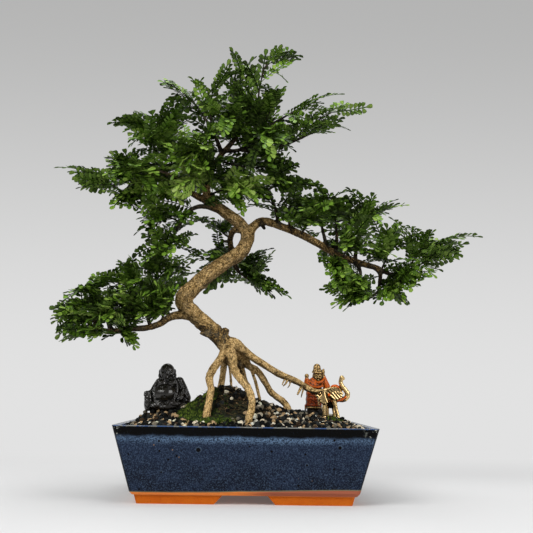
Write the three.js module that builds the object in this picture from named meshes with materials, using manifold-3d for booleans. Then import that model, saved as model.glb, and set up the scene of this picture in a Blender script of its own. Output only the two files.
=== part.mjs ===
// A Japanese pepper bonsai in its glazed pot, with three small figurines on the soil.
// Lengths are in millimetres, +Z is up, +Y is away from the viewer and the floor is z = 0.
import * as THREE from 'three';
import { mergeVertices } from 'three/addons/utils/BufferGeometryUtils.js';
import Module from 'manifold-3d';

const wasm = await Module();
wasm.setup();

// Pot
const rimLength = 260;
const rimDepth = 190;
const potHeight = 75.5;
const wallLean = 20.1 / potHeight;
const wallThickness = 7;
const cornerRadius = 5;
const footHeight = 9;
const undercut = 3.5;
const undercutLean = 0.8;
const footSetBack = 3.6;
const footRing = 13.5;
const footGapLength = 60;
const footGapDepth = 48;
const footGapSlope = 8;
const floorTop = 18;
const drainRadius = 9;
const drainSpacing = 92;
const clearance = 0.3;

// Drain screens
const screenSize = 30;
const screenThickness = 1.2;
const screenBar = 3;
const screenCells = 2;

// Soil
const soilEdge = 73.5;
const soilDome = 9;
const soilCells = [16, 11];
const soilBlockTop = 140;
const stoneCount = 20;
const stoneRadius = [2.6, 4.6];
const mossThickness = 2.6;
const mossSwell = 0.3;
const mossGap = 0.45;
const mossBlockBottom = 60;
const seatRoot = 60;
const seatRim = 2;

// Leaves
const bladeThickness = 0.8;
const leafletPairs = 3;
const leafletReach = 9.4;
const leafletWidth = 6.6;
const leafletLean = 1.05;
const ribHalfWidth = 1.1;
const stalkHalfWidth = 0.5;
const leafLength = [32, 60];
const leafSpacing = 4;
const usualLeaf = 50;
const mostTries = 90;
const leafClearance = 0.8;
const twigRadius = [1.6, 1.25];
const twigSides = 4;
const woodGap = 0.35;

// The eye that the tree was measured from: points are noted on the middle plane y = 0.
const eye = new THREE.Vector3(-5.6, -828.8, 108.5);

// Every branch and root: its points as x, z and depth seen on the middle plane, then its radius.
const wood = {
  trunk: [[-22, 158, 0, 9.6], [-31, 168, 0, 9.6], [-46, 181, -2, 9.2], [-60, 193, -4, 9],
    [-70, 203, -6, 9.4], [-72, 211, -7, 9.8], [-64, 221, -6, 9.4], [-51, 234, -4, 8.8],
    [-38, 245, -2, 8.4], [-24, 255, 0, 8.2], [-11, 264, 0, 8], [-4, 275, 0, 7.8], [-2, 288, 0, 7.6]],
  elbow: [[-70, 214, -7, 8.6], [-78, 213, -8, 6]],
  leader: [[-2, 286, 0, 7.2], [-13, 299, 1, 6.8], [-25, 308, 2, 6.6], [-36, 316, 3, 6.2],
    [-46, 325, 3, 5.2], [-51, 338, 2, 4.4], [-46, 358, 0, 3.8], [-34, 380, 0, 3.2],
    [-20, 398, 0, 2.8], [-12, 415, 0, 2.4], [-12, 436, 0, 1.9]],
  leader_stub: [[-42, 321, 3, 4.6], [-53, 323, 3, 3.8]],
  right_branch: [[-3, 284, 0, 6.4], [4, 295, -1, 5.2], [14, 301, -2, 4.9], [26, 299, -3, 4.6],
    [40, 294, -4, 4.4], [56, 288, -5, 4.3], [72, 280, -6, 4.2], [88, 271, -6, 4.1], [104, 262, -6, 4],
    [120, 257, -6, 3.7], [134, 253, -6, 3.4], [146, 250, -6, 3], [158, 244, -6, 2.4],
    [168, 242, -6, 2.2], [178, 247, -6, 2], [188, 252, -7, 1.7]],
  right_stub: [[12, 300, -3, 2.6], [17, 292, -5, 1.9]],
  hanging_branch: [[140, 252, -6, 3], [148, 245, -6, 2.6], [148, 234, -6, 2.3], [146, 221, -6, 1.9]],
  right_down_twig: [[120, 256, -6, 2.6], [126, 246, -7, 2.1], [126, 236, -8, 1.6]],
  right_twig_1: [[33, 298, -4, 2.7], [28, 318, -3, 2.1], [18, 342, -2, 1.5]],
  right_twig_2: [[48, 291, -5, 2.6], [44, 306, -4, 2], [40, 322, -3, 1.5]],
  right_twig_3: [[88, 272, -6, 2.6], [84, 288, -4, 2], [80, 306, -2, 1.5]],
  right_twig_4: [[98, 266, -6, 2.6], [99, 288, -4, 2], [97, 308, -3, 1.5]],
  right_twig_5: [[120, 257, -6, 2.6], [122, 274, -4, 2], [128, 291, -2, 1.5]],
  low_branch: [[-56, 189, -3, 5.4], [-72, 192, -5, 4.7], [-86, 190, -6, 4.2], [-98, 182, -6, 3.8],
    [-113, 177, -5, 3.5], [-130, 176, -4, 3.4], [-146, 173, -3, 3.3], [-160, 173, -2, 3.4],
    [-176, 178, -2, 3.4]],
  low_twig_1: [[-167, 175, -2, 2.5], [-172, 192, -2, 1.9], [-173, 212, -3, 1.5]],
  low_twig_2: [[-152, 174, -3, 2.2], [-157, 188, -2, 1.7], [-160, 200, 0, 1.4]],
  low_twig_3: [[-127, 176, -4, 2.3], [-124, 189, -3, 1.9], [-128, 203, -2, 1.6], [-131, 216, -2, 1.4]],
  low_twig_4: [[-108, 179, -5, 2.3], [-112, 193, -6, 1.9], [-108, 210, -6, 1.6], [-105, 228, -5, 1.4]],
  left_branch: [[-44, 322, 3, 4.6], [-60, 328, 3, 3.8], [-76, 339, 3, 3.5], [-92, 350, 2, 3.3],
    [-105, 356, 2, 3.3], [-120, 349, 2, 2.8], [-134, 340, 1, 2.5], [-146, 332, 0, 2.1]],
  left_riser: [[-101, 355, 2, 2.8], [-104, 372, 3, 2.3], [-102, 388, 4, 2], [-108, 402, 5, 1.5]],
  left_drooper: [[-36, 313, 3, 4], [-52, 317, -2, 3], [-64, 315, -5, 2.6], [-73, 308, -6, 2.4],
    [-79, 297, -6, 2.2], [-85, 285, -5, 1.9], [-89, 272, -4, 1.5]],
  crown_left_twig: [[-34, 380, 0, 2.7], [-44, 404, 4, 2.1], [-56, 424, 6, 1.7], [-67, 439, 8, 1.4]],
  crown_right_twig: [[-32, 383, 0, 2.6], [-12, 386, -1, 2.4], [1, 396, 0, 2], [5, 420, 2, 1.7],
    [6, 442, 4, 1.4]],
  upper_right_twig: [[-14, 386, -1, 2.4], [4, 384, -1, 2.3], [22, 389, -2, 2], [40, 394, -2, 1.8],
    [58, 402, -2, 1.4]],
  shoulder_twig: [[4, 406, 1, 1.9], [18, 414, 0, 1.7], [31, 423, 0, 1.4]],
  back_branch: [[-10, 291, 3, 4.4], [-18, 290, 10, 3.8], [-22, 281, 17, 3.5], [-21, 268, 22, 3.2],
    [-17, 252, 24, 2.8], [-11, 241, 26, 2.2]],
  back_stub: [[-21, 277, 18, 2], [-30, 277, 19, 1.4]],
  knob: [[-27, 169, -4, 5], [-24, 178, -8, 3.8]],
  dark_stub: [[-36, 168, -4, 3], [-45, 170, -8, 2.4], [-53, 173, -10, 1.9]],
  root_crown: [[-20, 160, 0, 9], [-20, 150, -1, 7.4], [-18, 142, 0, 4.6]],
  root_left: [[-24, 154, -1, 5.6], [-30, 144, -8, 4.5], [-38, 132, -16, 4.4], [-41, 125, -21, 4.1],
    [-40, 117, -27, 3.8], [-39, 112, -31, 3.8], [-40, 104, -37, 3.8], [-41, 96, -42, 3.7],
    [-42, 89, -46, 3.8], [-43, 82, -48, 4.1], [-43, 74, -50, 3.4]],
  root_back_left: [[-24, 150, 3, 5], [-25, 142, 7, 3.8], [-26, 132, 11, 3.6], [-27, 124, 14, 3.6],
    [-28, 115, 16, 3.8], [-29, 106, 17, 3.6]],
  root_thin_back: [[-20, 145, 3, 3], [-19, 135, 6, 1.7], [-18, 126, 9, 1.6], [-17, 116, 11, 1.6],
    [-17, 108, 12, 1.7]],
  root_front: [[-20, 154, -3, 5.6], [-16, 144, -11, 4.9], [-15, 136, -17, 4.3], [-12, 129, -23, 4.3],
    [-6, 122, -29, 4.3], [-1, 116, -36, 4.2], [4, 108, -43, 4], [6, 101, -49, 3.8], [6, 94, -54, 3.6],
    [5, 87, -58, 3.8], [3, 80, -60, 4.1], [4, 70, -62, 3.4]],
  root_dark_back: [[-10, 143, 4, 4.2], [-5, 132, 8, 3.1], [-2, 123, 11, 2.7], [1, 113, 14, 2.5],
    [3, 101, 16, 2.5]],
  root_inner: [[-16, 157, 1, 5.4], [-10, 149, 4, 4.6], [-4, 142, 9, 4.2], [4, 136, 13, 4],
    [11, 132, 15, 4.1], [17, 125, 16, 3.9], [22, 117, 18, 3.7], [26, 110, 20, 3.6],
    [32, 105, 21, 3.7], [39, 100, 22, 3.8], [44, 95, 22, 3.7], [48, 86, 22, 3.2]],
  root_thin: [[-2, 151, 2, 2.6], [2, 141, 6, 2.1], [6, 130, 10, 1.9], [10, 119, 13, 1.9],
    [13, 108, 15, 1.9], [15, 100, 17, 1.9], [19, 90, 18, 1.9]],
  root_long: [[-19, 162, -1, 7], [-13, 161, -2, 6.4], [-6, 156, -2, 5.2], [3, 149, -2, 4.3],
    [14, 142, 0, 4.1], [25, 135, 3, 3.9], [36, 129, 7, 3.8], [48, 124, 13, 3.7], [59, 119, 22, 3.6],
    [69, 113, 32, 3.5], [77, 110, 40, 3.3], [83, 107, 43, 3.1], [85.5, 99, 44, 2.9], [86, 88, 45, 2.8],
    [86, 76, 46, 2.8]],
};

// Every leafy spray: its twig from the branch outwards, then the tips of its leaves.
const sprays = {
  crown_spire: { twig: [[-12, 434, 0], [-13, 452, -1], [-15, 471, -2]], tips: [[-29, 509, -6],
    [4, 501, 12], [-43, 478, -14]] },
  crown_spire_right: { twig: [[6, 440, 4], [8, 462, 6], [13, 486, 6]], tips: [[50, 499, 6],
    [41, 469, -10], [-8, 490, 22]] },
  crown_left_top: { twig: [[-66, 438, 8], [-75, 447, 8], [-84, 457, 8]], tips: [[-106, 470, 8],
    [-57, 473, 12]] },
  crown_left_shoulder: { twig: [[-46, 407, 4], [-49, 430, -10], [-47, 458, -16]],
    tips: [[-27, 497, -12], [-68, 470, -28]] },
  crown_front_upper: { twig: [[-14, 410, 0], [-24, 418, -28], [-30, 424, -50]],
    tips: [[-50, 440, -88], [-8, 442, -86]] },
  crown_front_left: { twig: [[-47, 356, 0], [-60, 372, -26], [-66, 384, -46]], tips: [[-92, 398, -78],
    [-52, 384, -92]] },
  crown_front_right: { twig: [[2, 398, 0], [12, 400, -26], [16, 402, -46]], tips: [[46, 412, -72],
    [14, 388, -92]] },
  crown_back_upper: { twig: [[-12, 420, 0], [-16, 424, 28], [-18, 430, 48]], tips: [[-44, 440, 82],
    [12, 444, 80]] },
  crown_back_left: { twig: [[-51, 342, 2], [-68, 360, 26], [-76, 372, 44]], tips: [[-112, 384, 66],
    [-72, 396, 88]] },
  crown_back_right: { twig: [[-8, 386, 0], [8, 388, 26], [18, 392, 44]], tips: [[56, 396, 70],
    [16, 400, 92]] },
  crown_right_low: { twig: [[-38, 372, 0], [-14, 366, -6], [8, 364, -8]], tips: [[54, 360, -8],
    [43, 377, -24]] },
  crown_low_front: { young: true, twig: [[-51, 336, 2], [-58, 346, -24], [-64, 352, -44]],
    tips: [[-100, 362, -70], [-62, 362, -92]] },
  crown_low_right: { young: true, twig: [[-49, 330, 3], [-30, 338, -22], [-16, 342, -40]],
    tips: [[28, 348, -58], [-10, 356, -88]] },
  upper_left_tip: { twig: [[-108, 401, 5], [-118, 408, 6], [-126, 411, 6]], tips: [[-158, 413, 6],
    [-139, 426, -14]] },
  upper_left_front: { twig: [[-104, 374, 3], [-112, 384, -22], [-116, 390, -40]],
    tips: [[-142, 394, -76], [-96, 418, -70]] },
  upper_left_back: { twig: [[-103, 382, 4], [-106, 388, 28], [-108, 394, 46]], tips: [[-144, 400, 70],
    [-98, 412, 88]] },
  left_mid_tip: { twig: [[-146, 332, 0], [-160, 340, 2], [-174, 347, 4]], tips: [[-226, 358, 6],
    [-205, 346, -14], [-191, 334, 20]] },
  left_mid_front: { twig: [[-118, 350, 2], [-126, 352, -24], [-132, 354, -42]],
    tips: [[-170, 350, -66], [-132, 362, -92]] },
  left_mid_back: { twig: [[-122, 348, 2], [-132, 350, 28], [-138, 352, 46]], tips: [[-178, 352, 66],
    [-130, 360, 92]] },
  left_shoulder: { young: true, twig: [[-90, 349, 2], [-94, 342, -10], [-98, 336, -18]],
    tips: [[-134, 333, -24], [-124, 306, -34]] },
  left_hanging_end: { twig: [[-88, 276, -4], [-92, 270, -8], [-98, 266, -12]],
    tips: [[-124, 283, -10], [-70, 269, -36]] },
  left_hanging_mid: { twig: [[-80, 298, -6], [-88, 302, -14], [-96, 305, -20]],
    tips: [[-125, 297, -32], [-62, 300, -36]] },
  low_left_tip: { twig: [[-171, 186, -2], [-178, 188, 0], [-186, 190, 2]], tips: [[-219, 184, 2],
    [-210, 198, -16], [-207, 206, 24]] },
  low_left_under: { twig: [[-160, 173, -2], [-166, 168, -6], [-172, 167, -10]],
    tips: [[-205, 159, -12], [-204, 172, 8]] },
  low_left_front: { twig: [[-148, 174, -3], [-156, 184, -26], [-162, 190, -44]],
    tips: [[-200, 190, -64], [-162, 200, -92]] },
  low_left_back: { twig: [[-158, 192, -1], [-164, 197, 26], [-168, 200, 44]], tips: [[-202, 202, 66],
    [-160, 208, 90]] },
  low_mid_top: { twig: [[-131, 212, -2], [-132, 224, -4], [-132, 232, -6]], tips: [[-155, 235, -34],
    [-146, 246, 26], [-136, 253, -38]] },
  low_mid_front: { twig: [[-126, 183, -4], [-128, 192, -28], [-130, 198, -46]],
    tips: [[-160, 208, -76], [-118, 206, -92]] },
  low_mid_back: { twig: [[-128, 202, -2], [-128, 207, 26], [-128, 211, 46]], tips: [[-158, 218, 74],
    [-118, 222, 90]] },
  low_inner_top: { twig: [[-105, 226, -5], [-104, 238, -6], [-102, 248, -8]], tips: [[-64, 256, -16],
    [-122, 258, -38]] },
  low_inner_front: { twig: [[-110, 189, -6], [-102, 195, -30], [-96, 198, -46]],
    tips: [[-57, 203, -62], [-94, 210, -92]] },
  right_crown_mid: { twig: [[30, 422, 0], [44, 431, 1], [57, 438, 2]], tips: [[109, 457, 2],
    [90, 436, 20]] },
  right_crown_far: { twig: [[42, 395, -2], [62, 411, 9], [78, 424, 11], [93, 434, 10]],
    tips: [[142, 444, 8], [116, 412, 16]] },
  right_inner_top: { twig: [[19, 338, -2], [26, 342, -6], [34, 345, -8]], tips: [[74, 345, -10],
    [40, 346, -56]] },
  right_mid_top: { twig: [[80, 302, -2], [82, 316, -4], [86, 326, -6]], tips: [[112, 342, -26],
    [128, 332, 0]] },
  right_outer_top: { twig: [[127, 288, -2], [132, 300, -3], [138, 310, -4]], tips: [[173, 326, -2],
    [141, 339, -36]] },
  right_front_inner: { twig: [[58, 287, -5], [64, 296, -28], [68, 302, -46]], tips: [[98, 310, -78],
    [60, 316, -92]] },
  right_front_outer: { twig: [[106, 261, -6], [110, 270, -30], [114, 276, -48]],
    tips: [[148, 282, -76], [108, 288, -94]] },
  right_back_inner: { twig: [[44, 306, -4], [50, 310, 24], [54, 314, 42]], tips: [[86, 322, 70],
    [48, 326, 90]] },
  right_back_outer: { twig: [[98, 302, -3], [104, 304, 24], [110, 306, 42]], tips: [[146, 310, 66],
    [106, 318, 90]] },
  right_far_upper: { twig: [[177, 247, -6], [187, 260, -6], [194, 271, -5], [212, 280, -4]],
    tips: [[268, 288, -6], [158, 310, -8], [206, 296, -42]] },
  right_far_lower: { twig: [[186, 251, -7], [196, 256, -10], [206, 261, -12]], tips: [[243, 271, -12],
    [213, 239, -28]] },
  right_hang_left: { twig: [[146, 223, -6], [138, 216, -8], [130, 213, -10]], tips: [[93, 202, -12],
    [83, 228, -14]] },
  right_hang_right: { twig: [[148, 234, -6], [154, 227, -6], [158, 222, -6]], tips: [[177, 215, -36],
    [168, 234, 30]] },
  back_low_right: { twig: [[-12, 242, 26], [-2, 235, 28], [6, 230, 28]], tips: [[38, 215, 28],
    [17, 258, 36]] },
  back_low_left: { twig: [[-20, 262, 23], [-30, 262, 28], [-38, 260, 32]], tips: [[-47, 256, 72],
    [-45, 222, 46]] },
};

// Where the figurines rest on the soil: middle, half sizes of the flat seat, and its height.
const seats = {
  buddha: { x: -89, y: 25, halfLength: 23.5, halfDepth: 15.5, z: 86 },
  monk: { x: 80, y: 61, halfLength: 10.5, halfDepth: 9, z: 84 },
  elephant: { x: 95.5, y: 27, halfLength: 14, halfDepth: 10, z: 81.5 },
};

let randomState = 20240611;

function random(low = 0, high = 1) {
  randomState = (Math.imul(randomState, 1664525) + 1013904223) >>> 0;
  return low + (high - low) * randomState / 4294967296;
}

function seen(x, z, depth) {
  const spread = 1 - depth / eye.y;
  return new THREE.Vector3(eye.x + (x - eye.x) * spread, depth, eye.z + (z - eye.z) * spread);
}

function solid(geometry) {
  const bare = geometry.clone();
  bare.deleteAttribute('normal');
  bare.deleteAttribute('uv');
  const merged = mergeVertices(bare, 1e-4);
  return new wasm.Manifold(new wasm.Mesh({
    numProp: 3,
    vertProperties: new Float32Array(merged.attributes.position.array),
    triVerts: new Uint32Array(merged.index.array),
  }));
}

function joined(solids) {
  let whole = solids[0];
  for (const piece of solids.slice(1)) whole = whole.add(piece);
  return whole;
}

// The largest single body of a solid, without loose scrap.
function largestBody(shape) {
  let best = null;
  for (const body of shape.decompose()) {
    if (!best || body.volume() > best.volume()) best = body;
  }
  return best;
}

function meshOf(name, shape, color, roughness, metalness = 0) {
  const data = shape.getMesh();
  const geometry = new THREE.BufferGeometry();
  geometry.setAttribute('position', new THREE.BufferAttribute(new Float32Array(data.vertProperties), 3));
  geometry.setIndex(new THREE.BufferAttribute(new Uint32Array(data.triVerts), 1));
  geometry.computeVertexNormals();
  const mesh = new THREE.Mesh(geometry, new THREE.MeshStandardMaterial({ color, roughness, metalness }));
  mesh.name = name;
  return mesh;
}

function box(sizeX, sizeY, sizeZ, x, y, z) {
  return solid(new THREE.BoxGeometry(sizeX, sizeY, sizeZ).translate(x, y, z));
}

function ball(x, y, z, radiusX, radiusY, radiusZ, sides = 7, rings = 5) {
  const geometry = new THREE.SphereGeometry(1, sides, rings);
  geometry.rotateX(Math.PI / 2);
  return solid(geometry.scale(radiusX, radiusY, radiusZ).translate(x, y, z));
}

// A round bar along a curve: a cylinder bent so that its rings follow the points, with their radii.
function bar(points, radii, sides, stepsPerSpan = 2) {
  const curve = new THREE.CatmullRomCurve3(points, false, 'centripetal');
  const steps = (points.length - 1) * stepsPerSpan;
  const frames = curve.computeFrenetFrames(steps, false);
  const reach = [0];
  for (let i = 1; i < points.length; i += 1) {
    reach.push(reach[i - 1] + points[i].distanceTo(points[i - 1]));
  }
  const geometry = new THREE.CylinderGeometry(1, 1, 1, sides, steps);
  const position = geometry.attributes.position;
  for (let i = 0; i < position.count; i += 1) {
    const along = 0.5 - position.getY(i);
    const step = Math.round(along * steps);
    const distance = along * reach[reach.length - 1];
    let span = 1;
    while (span < points.length - 1 && reach[span] < distance) span += 1;
    const share = (distance - reach[span - 1]) / (reach[span] - reach[span - 1]);
    const radius = THREE.MathUtils.lerp(radii[span - 1], radii[span], share);
    const place = curve.getPointAt(along);
    place.addScaledVector(frames.normals[step], position.getX(i) * radius);
    place.addScaledVector(frames.binormals[step], position.getZ(i) * radius);
    position.setXYZ(i, place.x, place.y, place.z);
  }
  return solid(geometry);
}

// A block with rounded corners whose walls lean out as they rise.
function leaningBlock(bottomZ, topZ, inset, lean = wallLean) {
  const halfX = rimLength / 2 - inset;
  const halfY = rimDepth / 2 - inset;
  const radius = Math.min(Math.max(cornerRadius - inset * 0.4, 1.5), cornerRadius);
  const outline = new THREE.Shape();
  const corners = [[halfX, halfY, 0], [-halfX, halfY, 1], [-halfX, -halfY, 2], [halfX, -halfY, 3]];
  for (const [x, y, quarter] of corners) {
    const start = quarter * Math.PI / 2;
    const middleX = x - Math.sign(x) * radius;
    const middleY = y - Math.sign(y) * radius;
    outline.absarc(middleX, middleY, radius, start, start + Math.PI / 2, false);
  }
  const geometry = new THREE.ExtrudeGeometry(outline, {
    depth: topZ - bottomZ, bevelEnabled: false, steps: 1, curveSegments: 2,
  });
  const position = geometry.attributes.position;
  for (let i = 0; i < position.count; i += 1) {
    const z = bottomZ + position.getZ(i);
    const shrink = (potHeight - z) * lean;
    const x = position.getX(i) * (halfX - shrink) / halfX;
    const y = position.getY(i) * (halfY - shrink) / halfY;
    position.setXYZ(i, x, y, z);
  }
  return solid(geometry);
}

// A wedge-ended slot through the feet, wider at the floor than at the underside of the pot.
function footSlot(halfGap, reach, turn) {
  const outline = new THREE.Shape();
  outline.moveTo(-halfGap - 1, -1);
  outline.lineTo(halfGap + 1, -1);
  outline.lineTo(halfGap - footGapSlope, footHeight);
  outline.lineTo(footGapSlope - halfGap, footHeight);
  const geometry = new THREE.ExtrudeGeometry(outline, { depth: 2 * reach, bevelEnabled: false });
  geometry.translate(0, 0, -reach).rotateX(Math.PI / 2).rotateZ(turn);
  return solid(geometry);
}

function pot() {
  const edgeInset = (potHeight - footHeight - undercut) * (wallLean - undercutLean);
  const lowerEdge = leaningBlock(footHeight, potHeight, edgeInset, undercutLean);
  const body = leaningBlock(footHeight, potHeight, 0).intersect(lowerEdge);
  const cavity = leaningBlock(floorTop, potHeight + 5, wallThickness);
  const feet = leaningBlock(0, footHeight + 0.5, footSetBack);
  const between = leaningBlock(-1, footHeight, footSetBack + footRing);
  const slotFront = footSlot(footGapLength / 2, rimDepth, 0);
  const slotSide = footSlot(footGapDepth / 2, rimLength, Math.PI / 2);
  const ring = feet.subtract(between).subtract(slotFront).subtract(slotSide);
  let shape = body.add(ring).subtract(cavity);
  for (const side of [-1, 1]) {
    const drain = new THREE.CylinderGeometry(drainRadius, drainRadius, 30, 12);
    drain.rotateX(Math.PI / 2).translate(side * drainSpacing / 2, 0, floorTop - 8);
    shape = shape.subtract(solid(drain));
  }
  return shape;
}

function drainScreen(x) {
  const middleZ = floorTop + clearance + screenThickness / 2;
  const pitch = (screenSize - screenBar) / screenCells;
  const opening = pitch - screenBar;
  let screen = box(screenSize, screenSize, screenThickness, x, 0, middleZ);
  for (let column = 0; column < screenCells; column += 1) {
    for (let row = 0; row < screenCells; row += 1) {
      const offX = pitch * (column - (screenCells - 1) / 2);
      const offY = pitch * (row - (screenCells - 1) / 2);
      screen = screen.subtract(box(opening, opening, 4 * screenThickness, x + offX, offY, middleZ));
    }
  }
  return screen;
}

function heap(x, y, middleX, middleY, spreadX, spreadY, height) {
  const offX = (x - middleX) / spreadX;
  const offY = (y - middleY) / spreadY;
  return height * Math.exp(-(offX * offX + offY * offY) / 2);
}

function soilHeight(x, y) {
  const dome = soilDome * (1 - (x / 120) ** 2) * (1 - (y / 88) ** 2);
  return soilEdge + Math.max(dome, 0)
    + heap(x, y, -26, 0, 25, 23, 30)
    + heap(x, y, 22, 18, 26, 28, 10)
    + heap(x, y, -88, 24, 26, 24, 9)
    + heap(x, y, 82, 46, 24, 22, 8);
}

// How deep a place lies inside the moss patch: 1 in the middle of a lobe and below 0 outside.
function mossCover(x, y) {
  const lobes = [[-50, -24, 24, 34], [-30, -38, 26, 22], [-8, -34, 17, 18]];
  let cover = -9;
  for (const [middleX, middleY, halfX, halfY] of lobes) {
    cover = Math.max(cover, 1 - ((x - middleX) / halfX) ** 2 - ((y - middleY) / halfY) ** 2);
  }
  return cover;
}

// A block over the soil grid whose top follows a height formula.
function groundBlock(bottomZ, heightAt) {
  const [cellsX, cellsY] = soilCells;
  const geometry = new THREE.BoxGeometry(rimLength, rimDepth, 1, cellsX, cellsY, 1);
  const position = geometry.attributes.position;
  for (let i = 0; i < position.count; i += 1) {
    const isTop = position.getZ(i) > 0;
    position.setZ(i, isTop ? heightAt(position.getX(i), position.getY(i)) : bottomZ);
  }
  return solid(geometry);
}

function soilStone(x, y, radius) {
  const stone = new THREE.OctahedronGeometry(radius * 1.15);
  stone.rotateX(random(0, 6)).rotateY(random(0, 6)).rotateZ(random(0, 6));
  stone.scale(1, random(0.8, 1), random(0.6, 0.8));
  return solid(stone.translate(x, y, soilHeight(x, y) + radius * 0.1));
}

function isOnSeat(x, y, margin) {
  return Object.values(seats).some((seat) => Math.abs(x - seat.x) < seat.halfLength + margin
    && Math.abs(y - seat.y) < seat.halfDepth + margin);
}

function soil(woodAndGap) {
  let shape = groundBlock(0, soilHeight);
  shape = shape.intersect(leaningBlock(floorTop + clearance, soilBlockTop, wallThickness + clearance));
  let placed = 0;
  while (placed < stoneCount) {
    const radius = random(stoneRadius[0], stoneRadius[1]);
    const x = random(-110, 110);
    const y = random(-80, 76);
    if (mossCover(x, y) < -0.2 && !isOnSeat(x, y, radius)) {
      shape = shape.add(soilStone(x, y, radius));
      placed += 1;
    }
  }
  for (const seat of Object.values(seats)) {
    const pad = new THREE.CylinderGeometry(1, 1, 1, 10);
    const halfX = seat.halfLength + seatRim;
    const halfY = seat.halfDepth + seatRim;
    pad.rotateX(Math.PI / 2).scale(halfX, halfY, seat.z - seatRoot);
    pad.translate(seat.x, seat.y, (seat.z + seatRoot) / 2);
    const clear = new THREE.CylinderGeometry(1, 1, 1, 10);
    clear.rotateX(Math.PI / 2).scale(halfX + 0.5, halfY + 0.5, 20);
    clear.translate(seat.x, seat.y, seat.z + 10);
    shape = shape.add(solid(pad)).subtract(solid(clear));
  }
  for (const side of [-1, 1]) {
    const pocket = screenSize + 2 * clearance;
    const height = 2 * (screenThickness + 2 * clearance);
    shape = shape.subtract(box(pocket, pocket, height, side * drainSpacing / 2, 0, floorTop));
  }
  return largestBody(shape.subtract(woodAndGap));
}

function moss(woodAndGap) {
  const cushion = groundBlock(mossBlockBottom, (x, y) => {
    const swell = mossSwell * Math.sin(x * 0.9) * Math.cos(y * 0.8);
    return soilHeight(x, y) + Math.min(mossCover(x, y) * 2.5, 1) * (mossThickness + swell);
  });
  const ground = groundBlock(mossBlockBottom - 10, (x, y) => soilHeight(x, y) + mossGap);
  return largestBody(cushion.subtract(ground).subtract(woodAndGap));
}

function woodSolids(grow) {
  const solids = [];
  for (const points of Object.values(wood)) {
    const thickest = Math.max(...points.map((point) => point[3]));
    const sides = thickest > 6.5 ? 7 : thickest > 3.6 ? 5 : 4;
    const places = points.map(([x, z, depth]) => seen(x, z, depth));
    const radii = points.map((point) => point[3] + grow);
    solids.push(bar(places, radii, sides, 1));
  }
  return solids;
}

// One compound leaf cut to its rib, lying along +X: pairs of blunt leaflets and one at the tip.
function leafOutline(length, grow) {
  const right = [[-grow, stalkHalfWidth + grow]];
  const first = 0.22 * length;
  const last = 0.78 * length;
  for (let pair = 0; pair < leafletPairs; pair += 1) {
    const share = pair / (leafletPairs - 1);
    const root = THREE.MathUtils.lerp(first, last, share);
    const reach = leafletReach * (0.8 + 0.35 * Math.sin(Math.PI * (0.25 + 0.6 * share))) + grow;
    const half = leafletWidth / 2 + grow;
    const along = Math.cos(leafletLean);
    const out = Math.sin(leafletLean);
    if (pair > 0) right.push([root - leafletWidth * 0.75, ribHalfWidth + grow]);
    right.push([root + reach * along * 0.8 - half * out, reach * out * 0.8 + half * along * 0.6]);
    right.push([root + reach * along + half * out * 0.5, reach * out]);
  }
  right.push([last + leafletWidth * 0.9, ribHalfWidth + grow]);
  right.push([length + grow, leafletWidth * 0.36 + grow]);
  const left = right.map(([x, y]) => new THREE.Vector2(x, y)).reverse();
  return [...right.map(([x, y]) => new THREE.Vector2(x, -y)), ...left];
}

function leafBlade(length, grow = 0) {
  const outline = leafOutline(length, grow);
  const faces = THREE.ShapeUtils.triangulateShape(outline, []);
  const half = bladeThickness / 2 + grow;
  const count = outline.length;
  const places = [];
  for (const side of [1, -1]) {
    for (const point of outline) {
      const share = THREE.MathUtils.clamp(point.x / length, 0, 1);
      const arch = 0.36 * length * share * (1 - share) + 0.16 * Math.abs(point.y);
      places.push(point.x, point.y, arch + side * half);
    }
  }
  const index = [];
  for (const [a, b, c] of faces) {
    index.push(a, b, c);
    index.push(a + count, c + count, b + count);
  }
  for (let i = 0; i < count; i += 1) {
    const next = (i + 1) % count;
    index.push(i, i + count, next + count);
    index.push(i, next + count, next);
  }
  const geometry = new THREE.BufferGeometry();
  geometry.setAttribute('position', new THREE.Float32BufferAttribute(places, 3));
  geometry.setIndex(index);
  return geometry;
}

// Turns a leaf from +X to its own direction, with its upper face up and a little roll.
function leafMatrix(base, tip, roll) {
  const along = tip.clone().sub(base).normalize();
  const level = new THREE.Vector3(0, 0, 1).cross(along);
  if (level.length() < 0.2) level.set(-0.6, 0.8, 0);
  const across = level.normalize().applyAxisAngle(along, roll);
  const up = along.clone().cross(across);
  return new THREE.Matrix4().makeBasis(along, across, up).setPosition(base);
}

// The free place on a twig from which a leaf of usual length reaches its tip.
function leafBase(points, tip, wanted, taken) {
  const curve = new THREE.CatmullRomCurve3(points, false, 'centripetal');
  let best = null;
  for (let i = 6; i <= 20; i += 1) {
    const place = curve.getPointAt(i / 20);
    const miss = Math.abs(place.distanceTo(tip) - wanted);
    const isFree = taken.every((other) => other.distanceTo(place) > leafSpacing);
    if (isFree && (!best || miss < best.miss)) best = { place, miss };
  }
  return best.place;
}

const placedSolids = [];

function remember(owner, shape, isLeaf = false) {
  const bounds = shape.boundingBox();
  const region = new THREE.Box3(new THREE.Vector3(...bounds.min), new THREE.Vector3(...bounds.max));
  placedSolids.push({ owner, shape, region, isLeaf });
}

function isClear(owner, guard, heedsSiblings) {
  const bounds = guard.boundingBox();
  const region = new THREE.Box3(new THREE.Vector3(...bounds.min), new THREE.Vector3(...bounds.max));
  return placedSolids.every((other) => (other.owner === owner && !(other.isLeaf && heedsSiblings))
    || !other.region.intersectsBox(region)
    || other.shape.intersect(guard).isEmpty());
}

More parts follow.
